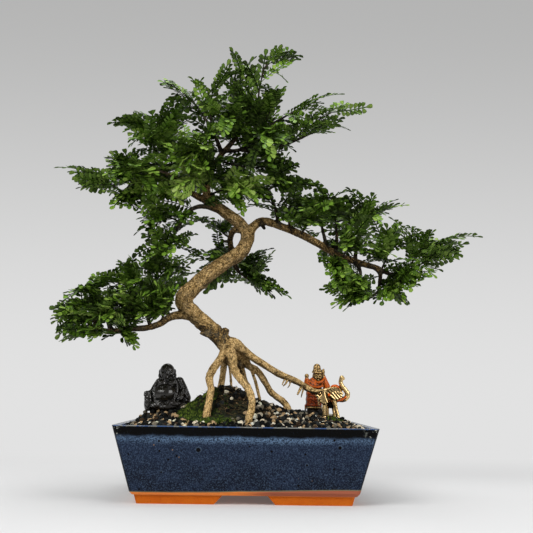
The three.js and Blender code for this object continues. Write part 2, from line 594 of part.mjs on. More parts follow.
// A leaf bent little by little from its wanted tip until it clears every other spray and the wood.
function placeLeaf(name, twigPoints, wantedTip, taken) {
  for (let attempt = 0; attempt < mostTries; attempt += 1) {
    const stray = attempt * 0.28;
    const tip = wantedTip.clone().add(new THREE.Vector3(
      random(-stray, stray) * 0.6, random(-stray, stray), random(-stray, stray) * 0.5,
    ));
    const base = leafBase(twigPoints, tip, usualLeaf, taken);
    const length = THREE.MathUtils.clamp(base.distanceTo(tip), leafLength[0], leafLength[1]);
    const matrix = leafMatrix(base, tip, random(-0.5, 0.5) * (1 + attempt / 30));
    const guard = solid(leafBlade(length, leafClearance).applyMatrix4(matrix));
    if (isClear(name, guard, attempt < mostTries / 3)) {
      taken.push(base);
      return solid(leafBlade(length).applyMatrix4(matrix));
    }
  }
  return null;
}

function twigOf(name, grow) {
  const points = sprays[name].twig.map(([x, z, depth]) => seen(x, z, depth));
  const radii = points.map((_, i) => grow
    + THREE.MathUtils.lerp(twigRadius[0], twigRadius[1], i / (points.length - 1)));
  return { points, shape: bar(points, radii, twigSides, 1) };
}

function spraySolids(woodAndGap) {
  for (const name of Object.keys(sprays)) remember(name, twigOf(name, 0).shape);
  const solids = {};
  for (const [name, { tips }] of Object.entries(sprays)) {
    const { points, shape } = twigOf(name, 0);
    let whole = shape;
    const taken = [];
    tips.forEach(([x, z, depth]) => {
      const leaf = placeLeaf(name, points, seen(x, z, depth), taken);
      if (leaf) {
        remember(name, leaf, true);
        whole = whole.add(leaf);
      }
    });
    solids[name] = largestBody(whole.subtract(woodAndGap));
  }
  return solids;
}

// Shapes of a figure standing at a seat, given by offsets from the middle of its foot.
function figureAt({ x, y, z }) {
  const foot = z + clearance;
  return {
    lump: ([offX, offY, offZ], [radiusX, radiusY, radiusZ], sides = 6, rings = 5) => ball(
      x + offX, y + offY, foot + offZ, radiusX, radiusY, radiusZ, sides, rings,
    ),
    limb: (points, sides = 4) => bar(
      points.map(([offX, offY, offZ]) => new THREE.Vector3(x + offX, y + offY, foot + offZ)),
      points.map((point) => point[3]), sides, 1,
    ),
    turned: (profile, flatness) => solid(new THREE.LatheGeometry(
      profile.map(([radius, height]) => new THREE.Vector2(radius, height)), 7,
    ).rotateX(Math.PI / 2).scale(1, flatness, 1).translate(x, y, foot)),
    below: box(80, 80, 40, x, y, foot - 20),
  };
}

// A seated, round-bellied figure in an open robe, with one hand on a sack.
function buddha() {
  const { lump, limb, below } = figureAt(seats.buddha);
  return joined([
    lump([0.5, 0, 7], [24, 16, 11], 8),
    lump([-1.5, -4.5, 19], [15.5, 12.5, 12.5], 7),
    lump([1, 2, 27], [16.5, 10.5, 13], 7),
    lump([-0.8, -1, 44], [8.8, 8.2, 9], 7, 6),
    lump([-9, 0, 41], [1.7, 2.6, 4.6]),
    lump([8, 0, 41], [1.7, 2.6, 4.6]),
    lump([-19, -3, 9], [6.6, 8, 11.5]),
    lump([-21.4, -4, 19], [4.2, 4.6, 4.4]),
    limb([[-9, 0, 32, 5.2], [-12.5, -1, 26, 5.2], [-16, -3, 20, 4.8]]),
    limb([[13.4, 0, 33, 5.6], [17.6, -1, 25, 5.6], [21.5, -1, 15, 5.6], [20, -1, 5, 5.6]], 5),
    limb([[19, -2, 23, 4.6], [17, -10, 19, 4], [12, -13, 16, 3.4]]),
  ]).subtract(below);
}

// A standing figure in a wide robe and a tall cap, with one fist raised and a hood on its shoulder.
function monk() {
  const { lump, limb, turned } = figureAt(seats.monk);
  const robe = [[0, 0], [9.6, 0], [10.8, 5], [10.7, 14], [10.4, 24], [11, 31], [11.2, 36], [8, 42],
    [4, 45], [0, 46]];
  return joined([
    turned(robe, 0.84),
    lump([4.6, -1, 44.5], [6.8, 6, 6.6]),
    lump([3.4, 0, 52], [5.3, 5, 7.4]),
    lump([-9, -4, 44.2], [3, 3, 3.2]),
    lump([10.8, -2, 50], [2.3, 2.4, 3.6], 5, 4),
    limb([[-4, 0, 36, 4.4], [-9, -3, 37.5, 3.6], [-9, -4, 43, 2.2]]),
    limb([[9.4, 0, 46, 3.6], [11.4, 0, 39, 4.8], [15, 0, 32, 5]]),
  ]);
}

// A small elephant facing right with its trunk raised high over a fluted saddle cloth.
function elephant() {
  const { lump, limb, below } = figureAt(seats.elephant);
  const legs = [[-7.4, -4.4, -7.2], [-2.7, 3.2, -3], [4.2, -4.4, 8.4], [2.6, 4.2, 5.3]];
  return joined([
    lump([-3.5, 0, 25.5], [12.5, 8, 10], 7),
    lump([3.6, 0, 30.5], [8, 6.6, 7.4]),
    lump([9, 0, 26.5], [7, 6, 7.6]),
    limb([[11, 0, 22.4, 4.6], [16.4, 0, 21.6, 3.7], [19.3, 0, 24.4, 3.5], [19.4, 0, 28.2, 3.4],
      [16.4, 0, 32, 3.2], [13, 0, 36, 3], [11.6, 0, 40, 2.8], [12.6, 0, 44.4, 3.2], [13, 0, 46.6, 2.6]], 5),
    lump([3, -7.2, 25.5], [5.8, 1.9, 7.2], 6, 4),
    lump([3, 7.2, 25.5], [5.8, 1.9, 7.2], 6, 4),
    ...legs.map(([topX, side, bottomX]) => limb(
      [[topX, side, 23, 3], [bottomX, side, 3, 2.1], [bottomX, side, -2, 2.3]], 5,
    )),
  ]).subtract(below);
}

const bonsai = new THREE.Group();
const woodAndGap = joined(woodSolids(woodGap));
const trunk = joined(woodSolids(0));
const soilShape = soil(woodAndGap);
remember('trunk', trunk);
const sprayShapes = spraySolids(woodAndGap);

bonsai.add(meshOf('pot', pot(), 0x2c3c55, 0.28));
bonsai.add(meshOf('drain_screen_left', drainScreen(-drainSpacing / 2), 0x23282a, 0.7));
bonsai.add(meshOf('drain_screen_right', drainScreen(drainSpacing / 2), 0x23282a, 0.7));
bonsai.add(meshOf('soil', soilShape, 0x4a4034, 0.95));
bonsai.add(meshOf('moss', moss(woodAndGap), 0x44601f, 0.95));
bonsai.add(meshOf('trunk', trunk, 0x9d7c50, 0.85));
for (const [name, shape] of Object.entries(sprayShapes)) {
  bonsai.add(meshOf(`spray_${name}`, shape, sprays[name].young ? 0x6d8b2c : 0x35541b, 0.45));
}
bonsai.add(meshOf('buddha_figurine', buddha(), 0x1f1d19, 0.3, 0.4));
bonsai.add(meshOf('monk_figurine', monk(), 0xb4541f, 0.5));
bonsai.add(meshOf('elephant_figurine', elephant(), 0xb58a45, 0.4, 0.4));

const bounds = new THREE.Box3().setFromObject(bonsai);
bonsai.position.set(-(bounds.min.x + bounds.max.x) / 2, -(bounds.min.y + bounds.max.y) / 2, -bounds.min.z);
bonsai.updateMatrixWorld(true);

export default bonsai;
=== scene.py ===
import math
import random

import bmesh
import bpy
from mathutils import Euler, Matrix, Vector, kdtree, noise


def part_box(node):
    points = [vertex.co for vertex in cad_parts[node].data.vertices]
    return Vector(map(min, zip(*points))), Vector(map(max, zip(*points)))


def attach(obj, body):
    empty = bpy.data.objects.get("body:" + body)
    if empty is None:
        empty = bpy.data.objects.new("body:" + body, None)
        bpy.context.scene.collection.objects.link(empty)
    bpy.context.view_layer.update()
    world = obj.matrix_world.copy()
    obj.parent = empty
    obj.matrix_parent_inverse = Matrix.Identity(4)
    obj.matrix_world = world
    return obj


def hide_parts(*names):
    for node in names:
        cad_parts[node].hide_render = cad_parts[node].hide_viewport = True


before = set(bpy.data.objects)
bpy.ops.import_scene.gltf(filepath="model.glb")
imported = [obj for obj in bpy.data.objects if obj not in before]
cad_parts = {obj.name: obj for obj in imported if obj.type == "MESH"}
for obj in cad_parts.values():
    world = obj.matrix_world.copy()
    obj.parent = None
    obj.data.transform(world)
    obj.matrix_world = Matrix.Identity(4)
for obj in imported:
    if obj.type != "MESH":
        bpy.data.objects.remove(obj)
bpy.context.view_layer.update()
print("frame loaded:", len(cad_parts), "nodes")

# Shapes are drawn in millimetres round the middle of the pot's foot, and toRow puts them in place.
# The studio and the places inside materials are in metres.
potLow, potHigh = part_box("pot")
potMiddle = Vector(((potLow[0] + potHigh[0]) / 2, (potLow[1] + potHigh[1]) / 2, 0))
toRow = Matrix.Translation(potMiddle) @ Matrix.Scale(0.001, 4)

# The photographing camera, which is also the eye that the tree was measured from.
cameraView = {"place": (-5.6, -828.8, 108.5), "pitch": 9.62, "yaw": 1.74, "roll": 0.96, "lens": 50.29,
              "sensor": 36, "clip": 0.01}
eye = Vector(cameraView["place"])


def seen(x, z, depth):
    # a point noted on the pot's middle plane, moved along its sight line to its own depth
    spread = 1 - depth / eye.y
    return Vector((eye.x + (x - eye.x) * spread, depth, eye.z + (z - eye.z) * spread))


def addPiece(name, mesh, material, nodes=(), drawn=True):
    if drawn:
        mesh.transform(toRow)
    mesh.materials.clear()
    mesh.materials.append(material)
    piece = bpy.data.objects.new(name, mesh)
    bpy.context.collection.objects.link(piece)
    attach(piece, "root")
    if nodes:
        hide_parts(*nodes)
    print(name, len(mesh.polygons), "faces")
    return piece


def frozen(bm, name):
    mesh = bpy.data.meshes.new(name)
    bm.to_mesh(mesh)
    bm.free()
    return mesh


def meshOf(bm, name, creaseAngle=40):
    mesh = frozen(bm, name)
    mesh.shade_smooth()
    mesh.set_sharp_from_angle(angle=math.radians(creaseAngle))
    return mesh


def settled(draft):
    # the mesh that an object shows with its modifiers or its curve worked out
    bpy.context.collection.objects.link(draft)
    mesh = bpy.data.meshes.new_from_object(draft.evaluated_get(bpy.context.evaluated_depsgraph_get()))
    bpy.data.objects.remove(draft)
    return mesh


def remeshed(bm, voxel, rounds):
    # one skin round all the shapes in bm, then smoothed a little
    rough = bpy.data.objects.new("rough", meshOf(bm, "rough"))
    skin = rough.modifiers.new("skin", "REMESH")
    skin.mode = "VOXEL"
    skin.voxel_size = voxel
    shape = settled(rough)
    bm = bmesh.new()
    bm.from_mesh(shape)
    bpy.data.meshes.remove(shape)
    for _ in range(rounds):
        bmesh.ops.smooth_vert(bm, verts=bm.verts, factor=0.5, use_axis_x=True, use_axis_y=True,
                              use_axis_z=True)
    return bm


def treeOf(spots):
    # finds the nearest of many spots quickly
    tree = kdtree.KDTree(len(spots))
    for index, spot in enumerate(spots):
        tree.insert(spot, index)
    tree.balance()
    return tree


# Short ways to wire a material.
def newMaterial(name, roughness=0.5):
    material = bpy.data.materials.new(name)
    material.use_nodes = True
    tree = material.node_tree
    shader = tree.nodes["Principled BSDF"]
    shader.inputs["Roughness"].default_value = roughness
    place = tree.nodes.new("ShaderNodeTexCoord").outputs["Object"]
    return material, tree, shader, place


def noiseOf(tree, place, scale, detail=4, roughness=0.55):
    texture = tree.nodes.new("ShaderNodeTexNoise")
    texture.inputs["Scale"].default_value = scale
    texture.inputs["Detail"].default_value = detail
    texture.inputs["Roughness"].default_value = roughness
    tree.links.new(place, texture.inputs["Vector"])
    return texture.outputs["Fac"]


def spotsOf(tree, place, scale):
    texture = tree.nodes.new("ShaderNodeTexVoronoi")
    texture.inputs["Scale"].default_value = scale
    tree.links.new(place, texture.inputs["Vector"])
    return texture.outputs["Distance"]


def rampOf(tree, value, stops):
    ramp = tree.nodes.new("ShaderNodeValToRGB")
    while len(ramp.color_ramp.elements) < len(stops):
        ramp.color_ramp.elements.new(0.5)
    for element, (position, color) in zip(ramp.color_ramp.elements, stops):
        element.position = position
        element.color = (*color, 1) if len(color) == 3 else color
    tree.links.new(value, ramp.inputs["Fac"])
    return ramp.outputs["Color"]


def rangeOf(tree, value, low, high, toLow=0.0, toHigh=1.0):
    mapping = tree.nodes.new("ShaderNodeMapRange")
    mapping.interpolation_type = "SMOOTHSTEP"
    mapping.inputs["From Min"].default_value = low
    mapping.inputs["From Max"].default_value = high
    mapping.inputs["To Min"].default_value = toLow
    mapping.inputs["To Max"].default_value = toHigh
    tree.links.new(value, mapping.inputs["Value"])
    return mapping.outputs["Result"]


def mathOf(tree, operation, first, second=None):
    step = tree.nodes.new("ShaderNodeMath")
    step.operation = operation
    for socket, value in zip(step.inputs, (first, second)):
        if isinstance(value, (int, float)):
            socket.default_value = value
        elif value is not None:
            tree.links.new(value, socket)
    return step.outputs["Value"]


def times(tree, first, second):
    return mathOf(tree, "MULTIPLY", first, second)


def plus(tree, first, second):
    return mathOf(tree, "ADD", first, second)


def minus(tree, first, second):
    return mathOf(tree, "SUBTRACT", first, second)


def swayed(tree, value, texture, amount):
    # a value that a texture moves up and down round its middle
    return plus(tree, value, times(tree, minus(tree, texture, 0.5), amount))


def axesOf(tree, place):
    split = tree.nodes.new("ShaderNodeSeparateXYZ")
    tree.links.new(place, split.inputs["Vector"])
    return split.outputs


def blend(tree, factor, first, second, mode="MIX"):
    mixer = tree.nodes.new("ShaderNodeMix")
    mixer.data_type = "RGBA"
    mixer.blend_type = mode
    for socket, value in ((mixer.inputs[0], factor), (mixer.inputs[6], first), (mixer.inputs[7], second)):
        if isinstance(value, (int, float)):
            socket.default_value = value
        elif isinstance(value, tuple):
            socket.default_value = (*value, 1)
        else:
            tree.links.new(value, socket)
    return mixer.outputs[2]


def attributeOf(tree, name, output="Fac"):
    source = tree.nodes.new("ShaderNodeAttribute")
    source.attribute_name = name
    return source.outputs[output]


def bumpOf(tree, shader, height, strength, distance):
    bump = tree.nodes.new("ShaderNodeBump")
    bump.inputs["Strength"].default_value = strength
    bump.inputs["Distance"].default_value = distance
    tree.links.new(height, bump.inputs["Height"])
    tree.links.new(bump.outputs["Normal"], shader.inputs["Normal"])


# Studio: camera, floor that sweeps up behind, and soft lights, each with its place, width and power.
studio = {"floor": (0.60, 0.60, 0.60), "wallLow": (0.760, 0.760, 0.760), "wallHigh": (0.455, 0.455, 0.452),
          "wallGlowFalloff": (0.0, 1.9), "glowBehind": (0.0, 0.55), "glowAside": (0.11, 0.19, 0.11, 0.35),
          "halfFloor": 4, "bendFrom": 1.2, "bend": 0.9, "airTone": (0.75, 0.76, 0.78), "airStrength": 0.34,
          "lightsAimAt": (0, 0, 0.22), "lights": {"key": ((-0.95, -1.05, 1.25), 0.9, 28),
          "fill": ((1.15, -0.95, 0.75), 1.0, 15), "top": ((0.1, 0.15, 1.7), 1.2, 17)}}


def aim(pitch, yaw, roll):
    forward = Vector((math.sin(yaw) * math.cos(pitch), math.cos(yaw) * math.cos(pitch), math.sin(pitch)))
    level = Vector((math.cos(yaw), -math.sin(yaw), 0))
    up = level.cross(forward)
    right = level * math.cos(roll) + up * math.sin(roll)
    upright = up * math.cos(roll) - level * math.sin(roll)
    return Matrix((right, upright, -forward)).transposed()


def placeCamera(scene):
    camera = bpy.data.objects.new("camera", bpy.data.cameras.new("camera"))
    camera.data.lens = cameraView["lens"]
    camera.data.sensor_width = cameraView["sensor"]
    camera.data.clip_start = cameraView["clip"]
    turn = aim(*(math.radians(cameraView[key]) for key in ("pitch", "yaw", "roll")))
    camera.matrix_world = Matrix.Translation(toRow @ eye) @ turn.to_4x4()
    scene.collection.objects.link(camera)
    scene.camera = camera


def sweepMaterial():
    # white paper that glows behind and beside the pot as a lit backdrop does; this glow is painted light,
    # fading darker up the wall as the studio light falls off and thinning the floor's shadows beside and
    # under the pot
    material, tree, shader, place = newMaterial("paperSweep", 0.9)
    axes = axesOf(tree, place)
    shader.inputs["Base Color"].default_value = (*studio["floor"], 1)
    shader.inputs["Specular IOR Level"].default_value = 0.1
    glow = tree.nodes.new("ShaderNodeEmission")
    tone = blend(tree, rangeOf(tree, axes["Z"], *studio["wallGlowFalloff"]), studio["wallLow"], studio["wallHigh"])
    tree.links.new(tone, glow.inputs["Color"])
    mixer = tree.nodes.new("ShaderNodeMixShader")
    aside = mathOf(tree, "ABSOLUTE", minus(tree, axes["X"], potMiddle.x))
    lit = mathOf(tree, "MAXIMUM", rangeOf(tree, axes["Y"], *studio["glowBehind"]),
                 rangeOf(tree, aside, *studio["glowAside"]))
    tree.links.new(lit, mixer.inputs["Fac"])
    tree.links.new(shader.outputs["BSDF"], mixer.inputs[1])
    tree.links.new(glow.outputs["Emission"], mixer.inputs[2])
    tree.links.new(mixer.outputs["Shader"], tree.nodes["Material Output"].inputs["Surface"])
    return material


def makeSweep(scene):
    bm = bmesh.new()
    bmesh.ops.create_grid(bm, x_segments=1, y_segments=60, size=studio["halfFloor"])
    start, radius = studio["bendFrom"], studio["bend"]
    for vert in bm.verts:
        over = vert.co.y - start  # past this line the sheet bends up into the wall
        if over > 0:
            turned = min(over / radius, math.pi / 2)
            vert.co.y = start + radius * math.sin(turned)
            vert.co.z = radius * (1 - math.cos(turned)) + max(over - radius * math.pi / 2, 0)
    sweep = bpy.data.objects.new("sweep", meshOf(bm, "sweep", 180))
    scene.collection.objects.link(sweep)
    sweep.data.materials.append(sweepMaterial())


def placeLights(scene):
    for name, (spot, width, power) in studio["lights"].items():
        lamp = bpy.data.lights.new(name, "AREA")
        lamp.energy = power
        lamp.size = width
        lightObject = bpy.data.objects.new(name, lamp)
        lightObject.location = spot
        away = Vector(spot) - Vector(studio["lightsAimAt"])
        lightObject.rotation_euler = away.to_track_quat("Z", "Y").to_euler()
        scene.collection.objects.link(lightObject)
    world = bpy.data.worlds.new("studioAir")
    scene.world = world
    world.use_nodes = True
    air = world.node_tree.nodes["Background"]
    air.inputs["Color"].default_value = (*studio["airTone"], 1)
    air.inputs["Strength"].default_value = studio["airStrength"]


bpy.context.scene.view_settings.view_transform = "Standard"
placeCamera(bpy.context.scene)
makeSweep(bpy.context.scene)
placeLights(bpy.context.scene)
print("studio made")

# Pot: its own solid with softened edges, blue glaze over red clay.
potLook = {"edge": 0.0009, "edgeSteps": 3, "glazeFoot": 0.0112, "glazeRise": 0.0042, "halfTop": 0.130,
           "lean": 0.266, "pits": [((-83.9, -91.1, 61.0), 1.1), ((-46.0, -89.0, 52.9), 2.1),
                                   ((91.1, -90.0, 56.8), 1.7), ((-81.5, -83.5, 31.0), 1.0),
                                   ((59.5, -85.5, 39.5), 1.1)], "chip": ((108.5, -76.0, 5.2), 2.4)}


def nearTo(tree, place, spot, radius):
    distance = tree.nodes.new("ShaderNodeVectorMath")
    distance.operation = "DISTANCE"
    tree.links.new(place, distance.inputs[0])
    distance.inputs[1].default_value = toRow @ Vector(spot)
    return rangeOf(tree, distance.outputs["Value"], radius * 0.0011, radius * 0.0008)


def glazeMaterial():
    material, tree, shader, place = newMaterial("blueGlaze", 0.3)
    axes = axesOf(tree, place)
    height = axes["Z"]
    fromMiddle = mathOf(tree, "ABSOLUTE", minus(tree, axes["X"], potMiddle.x))
    top = potHigh[2]
    waver = noiseOf(tree, place, 26, 3)
    cloud = noiseOf(tree, place, 70, 5, 0.6)
    grain = noiseOf(tree, place, 780, 3, 0.75)
    level = swayed(tree, height, waver, 0.006)
    ragged = swayed(tree, swayed(tree, height, grain, 0.0085), cloud, 0.006)

    # navy that deepens towards the foot, with fine speckles, blue and near black
    glaze = blend(tree, rangeOf(tree, level, 0.012, top - 0.016), (0.005, 0.007, 0.013),
                  (0.011, 0.019, 0.040))
    glaze = blend(tree, rangeOf(tree, cloud, 0.38, 0.70, 0.0, 0.7), glaze, (0.016, 0.027, 0.056))
    glaze = blend(tree, rangeOf(tree, grain, 0.50, 0.62, 0.0, 0.85), glaze, (0.042, 0.066, 0.112))
    glaze = blend(tree, rangeOf(tree, grain, 0.47, 0.40, 0.0, 0.6), glaze, (0.005, 0.006, 0.011))
    # a paler band below the black band; its brightness, strongest at the middle of the front and fading
    # towards the corners, is a painted highlight
    paintedHighlightBand = times(tree, rangeOf(tree, level, top - 0.0180, top - 0.0118),
                     rangeOf(tree, grain, 0.42, 0.60, 0.05, 1.0))
    paintedHighlightBand = times(tree, paintedHighlightBand, rangeOf(tree, fromMiddle, 0.115, 0.045, 0.55, 1.0))
    glaze = blend(tree, paintedHighlightBand, glaze, (0.115, 0.190, 0.300))
    dots = times(tree, rangeOf(tree, spotsOf(tree, place, 105), 0.140, 0.105),
                 rangeOf(tree, cloud, 0.40, 0.46))
    for spot, radius in potLook["pits"]:
        halo = nearTo(tree, place, (spot[0] + 0.3, spot[1], spot[2] + 0.5), radius * 1.5)
        glaze = blend(tree, times(tree, halo, 0.2), glaze, (0.13, 0.19, 0.26))
        dots = mathOf(tree, "MAXIMUM", dots, nearTo(tree, place, spot, radius * 1.1))
    glaze = blend(tree, dots, glaze, (0.002, 0.002, 0.003))
    ochre = times(tree, rangeOf(tree, spotsOf(tree, place, 120), 0.075, 0.045),
                  rangeOf(tree, waver, 0.53, 0.57))
    glaze = blend(tree, ochre, glaze, (0.30, 0.17, 0.06))

    # near-black band under the rim, light specks at the corners, and the grey and blue rim line, whose grey
    # is a painted highlight along the rim's edge
    black = rangeOf(tree, ragged, top - 0.0108, top - 0.0080)
    glaze = blend(tree, black, glaze, (0.0006, 0.0006, 0.0006))
    fleck = times(tree, black, rangeOf(tree, grain, 0.62, 0.70, 0.0, 0.5))
    glaze = blend(tree, fleck, glaze, (0.020, 0.034, 0.062))
    worn = times(tree, rangeOf(tree, fromMiddle, 0.112, 0.124),
                 rangeOf(tree, noiseOf(tree, place, 330, 3, 0.6), 0.57, 0.62))
    glaze = blend(tree, times(tree, worn, black), glaze, (0.32, 0.33, 0.29))
    # painted highlight: a thin grey line along the top edge of the rim, speckled with blue glaze
    rimHighlightTone = blend(tree, rangeOf(tree, noiseOf(tree, place, 60, 5, 0.8), 0.47, 0.53), (0.20, 0.205, 0.185),
                    (0.042, 0.088, 0.210))
    rim = times(tree, rangeOf(tree, height, top - 0.0011, top - 0.0005),
                rangeOf(tree, cloud, 0.34, 0.50, 0.45, 1.0))
    glaze = blend(tree, rim, glaze, rimHighlightTone)
    # painted shade: the glaze turns near black along the pot's upright corners
    reach = minus(tree, potLook["halfTop"], times(tree, minus(tree, top, height), potLook["lean"]))
    corner = rangeOf(tree, minus(tree, reach, fromMiddle), 0.0028, 0.0008, 0.0, 0.85)
    glaze = blend(tree, corner, glaze, (0.002, 0.003, 0.004))

    # bare clay foot, with painted shade on its lower part below the undercut at the glaze edge, mauve on
    # one side where the glaze stops, with a dark chip at its corner
    clay = blend(tree, rangeOf(tree, cloud, 0.3, 0.7), (0.90, 0.190, 0.011), (1.0, 0.260, 0.016))
    clay = blend(tree, rangeOf(tree, grain, 0.56, 0.68, 0.0, 0.7), clay, (0.42, 0.085, 0.008))
    # painted shade: the clay below about 9 mm, under the undercut at the glaze edge, is darkened
    clay = blend(tree, rangeOf(tree, height, 0.0098, 0.0086, 0.0, 0.6), clay, (0.26, 0.048, 0.006))
    clay = blend(tree, rangeOf(tree, height, 0.0078, 0.0092, 0.0, 0.5), clay, (0.80, 0.30, 0.10))
    stain = times(tree, rangeOf(tree, axes["X"], -0.035, 0.010), rangeOf(tree, height, 0.0086, 0.0096))
    clay = blend(tree, times(tree, stain, 0.85), clay, (0.26, 0.080, 0.060))
    clay = blend(tree, nearTo(tree, place, *potLook["chip"]), clay, (0.004, 0.004, 0.004))
    edge = minus(tree, plus(tree, times(tree, level, 0.2), times(tree, height, 0.8)),
                 rangeOf(tree, axes["X"], -0.11, 0.11, 0.0, potLook["glazeRise"]))
    glazed = rangeOf(tree, edge, potLook["glazeFoot"], potLook["glazeFoot"] + 0.0004)
    lip = times(tree, glazed, rangeOf(tree, edge, potLook["glazeFoot"] + 0.0014,
                                      potLook["glazeFoot"] + 0.0007))
    color = blend(tree, glazed, clay, glaze)
    color = blend(tree, times(tree, lip, 0.75), color, (0.24, 0.215, 0.115))
    tree.links.new(color, shader.inputs["Base Color"])
    tree.links.new(rangeOf(tree, glazed, 0, 1, 0.88, 0.24), shader.inputs["Roughness"])
    shader.inputs["Specular IOR Level"].default_value = 0.07
    relief = plus(tree, times(tree, grain, 0.35),
                  minus(tree, times(tree, glazed, 0.8), times(tree, dots, 0.8)))
    bumpOf(tree, shader, relief, 0.5, 0.0004)
    return material


def makePot():
    bm = bmesh.new()
    bm.from_mesh(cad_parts["pot"].data)
    bmesh.ops.remove_doubles(bm, verts=bm.verts, dist=1e-6)
    bmesh.ops.dissolve_limit(bm, angle_limit=math.radians(1), verts=bm.verts, edges=bm.edges)
    pot = addPiece("glazedPot", meshOf(bm, "glazedPot", 30), glazeMaterial(), ["pot"], drawn=False)
    rounding = pot.modifiers.new("rounding", "BEVEL")
    rounding.width = potLook["edge"]
    rounding.segments = potLook["edgeSteps"]
    rounding.limit_method = "ANGLE"
    rounding.angle_limit = math.radians(32)
    rounding.harden_normals = False


makePot()

# Drain screens lie under the soil and keep their solids.
def makeScreens():
    material, tree, shader, place = newMaterial("screenPlastic", 0.6)
    tree.links.new(blend(tree, noiseOf(tree, place, 500), (0.012, 0.014, 0.014), (0.03, 0.032, 0.032)),
                   shader.inputs["Base Color"])
    bumpOf(tree, shader, noiseOf(tree, place, 1500, 2), 0.2, 0.0002)
    for name in ("drain_screen_left", "drain_screen_right"):
        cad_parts[name].data.materials.clear()
        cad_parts[name].data.materials.append(material)


makeScreens()

# What soil, moss and figurines share: seats (middle, half sizes and height) and the moss cushion's lobes.
seats = {"buddha": (-89, 25, 23.5, 15.5, 86), "monk": (80, 61, 10.5, 9, 84),
         "elephant": (95.5, 27, 14, 10, 81.5)}
cushion = {"lobes": [(-50, -24, 24, 34), (-30, -38, 26, 22), (-8, -34, 17, 18)], "thickness": 1.8}

# Soil: a dark bed under loose gravel, heaped round the roots. The weight of each tone stands behind it.
soilLook = {"edge": 73.5, "dome": 9, "domeHalf": (120, 88),
            "heaps": [(-26, 0, 25, 23, 30), (22, 18, 26, 28, 10), (-88, 24, 26, 24, 9),
                      (82, 46, 24, 22, 8)], "bedDrop": 1.6, "bedWaver": 0.9, "bedCells": (62, 44),
            "bedSize": (244.5, 174.5), "bedFoot": (0.872, 0.826, 18.6), "bedTone": (0.012, 0.009, 0.006, 1),
            "stones": 1750, "stoneSize": (1.9, 4.6), "stoneHalf": (120, 85), "wallHalf": (121.5, 86.5),
            "crumbs": 1100, "crumbSize": (0.7, 1.5), "crumbArea": ((-62, 40), (-60, 42)), "seed": 11,
            "stoneTones": [((0.006, 0.0065, 0.006), 44), ((0.024, 0.027, 0.026), 24),
                           ((0.055, 0.034, 0.019), 7), ((0.21, 0.185, 0.135), 8), ((0.50, 0.34, 0.18), 9),
                           ((0.95, 0.83, 0.62), 10)],
            "crumbTones": [((0.009, 0.008, 0.005), 56), ((0.032, 0.023, 0.012), 24),
                           ((0.12, 0.074, 0.036), 13), ((0.42, 0.27, 0.14), 7)]}


def soilHeight(x, y):
    halfX, halfY = soilLook["domeHalf"]
    height = soilLook["edge"] + max(soilLook["dome"] * (1 - (x / halfX) ** 2) * (1 - (y / halfY) ** 2), 0)
    for middleX, middleY, spreadX, spreadY, rise in soilLook["heaps"]:
        height += rise * math.exp(-(((x - middleX) / spreadX) ** 2 + ((y - middleY) / spreadY) ** 2) / 2)
    return height


def mossCover(x, y):
    return max(1 - ((x - middleX) / halfX) ** 2 - ((y - middleY) / halfY) ** 2
               for middleX, middleY, halfX, halfY in cushion["lobes"])


def mossSwell(x, y):
    return cushion["thickness"] * min(max(mossCover(x, y), 0) * 2.5, 1)


def greenAt(x, y):
    # moss is green on the left slope and in a few patches; elsewhere the mound is bare, dark soil
    patch = noise.noise(Vector((x, y, 40)) * 0.13) * 42 + noise.noise(Vector((x, y, 70)) * 0.05) * 22
    return min(max((patch - x - 30) / 16, 0), 1)


def seatUnder(x, y, margin):
    for middleX, middleY, halfX, halfY, height in seats.values():
        if ((x - middleX) / (halfX + margin)) ** 2 + ((y - middleY) / (halfY + margin)) ** 2 < 1:
            return height
    return None


def groundAt(x, y):
    seat = seatUnder(x, y, 2)
    return soilHeight(x, y) if seat is None else seat - 0.4


def gravelMaterial():
    material, tree, shader, place = newMaterial("gravel", 0.85)
    color = attributeOf(tree, "stoneColor", "Color")
    fine = noiseOf(tree, place, 1400, 4, 0.7)
    color = blend(tree, rangeOf(tree, fine, 0.35, 0.7, 0.0, 0.6), color, (0.02, 0.016, 0.012), "MULTIPLY")
    tree.links.new(color, shader.inputs["Base Color"])
    shader.inputs["Specular IOR Level"].default_value = 0.06
    pores = plus(tree, fine, times(tree, spotsOf(tree, place, 1100), 0.6))
    bumpOf(tree, shader, pores, 0.8, 0.0008)
    return material


def stoneShapes(rng, plain=False):
    shapes = []
    for _ in range(9):
        bm = bmesh.new()
        if plain:
            bmesh.ops.create_icosphere(bm, subdivisions=1, radius=1)
        else:
            bmesh.ops.create_cube(bm, size=1.5)
            bmesh.ops.subdivide_edges(bm, edges=bm.edges, cuts=1, use_grid_fill=True)
        for vert in bm.verts:
            vert.co = vert.co.normalized() * rng.uniform(0.78, 1.12)
        bmesh.ops.scale(bm, verts=bm.verts, vec=(1, rng.uniform(0.75, 1), rng.uniform(0.55, 0.85)))
        layer = bm.verts.layers.float_color.new("stoneColor")
        for vert in bm.verts:
            vert[layer] = (0, 0, 0, 1)
        shapes.append(frozen(bm, "stone"))
    return shapes


def pickTone(rng, tones):
    return rng.choices([tone for tone, _ in tones], [weight for _, weight in tones])[0]


def stoneTone(rng):
    tone = pickTone(rng, soilLook["stoneTones"])
    shade = rng.uniform(0.75, 1.25)
    return [min(part * shade, 0.9) for part in tone] + [1]


def tumble(rng):
    return Euler([rng.uniform(0, 6.28) for _ in range(3)]).to_matrix().to_4x4()


def addShape(bm, shape, matrix, attribute=None, value=None):
    copy = shape.copy()
    copy.transform(matrix)
    if attribute:
        data = copy.attributes[attribute].data
        if isinstance(value, list):
            data.foreach_set("color", value * len(data))
        else:
            data.foreach_set("value", [value] * len(data))
    bm.from_mesh(copy)
    bpy.data.meshes.remove(copy)


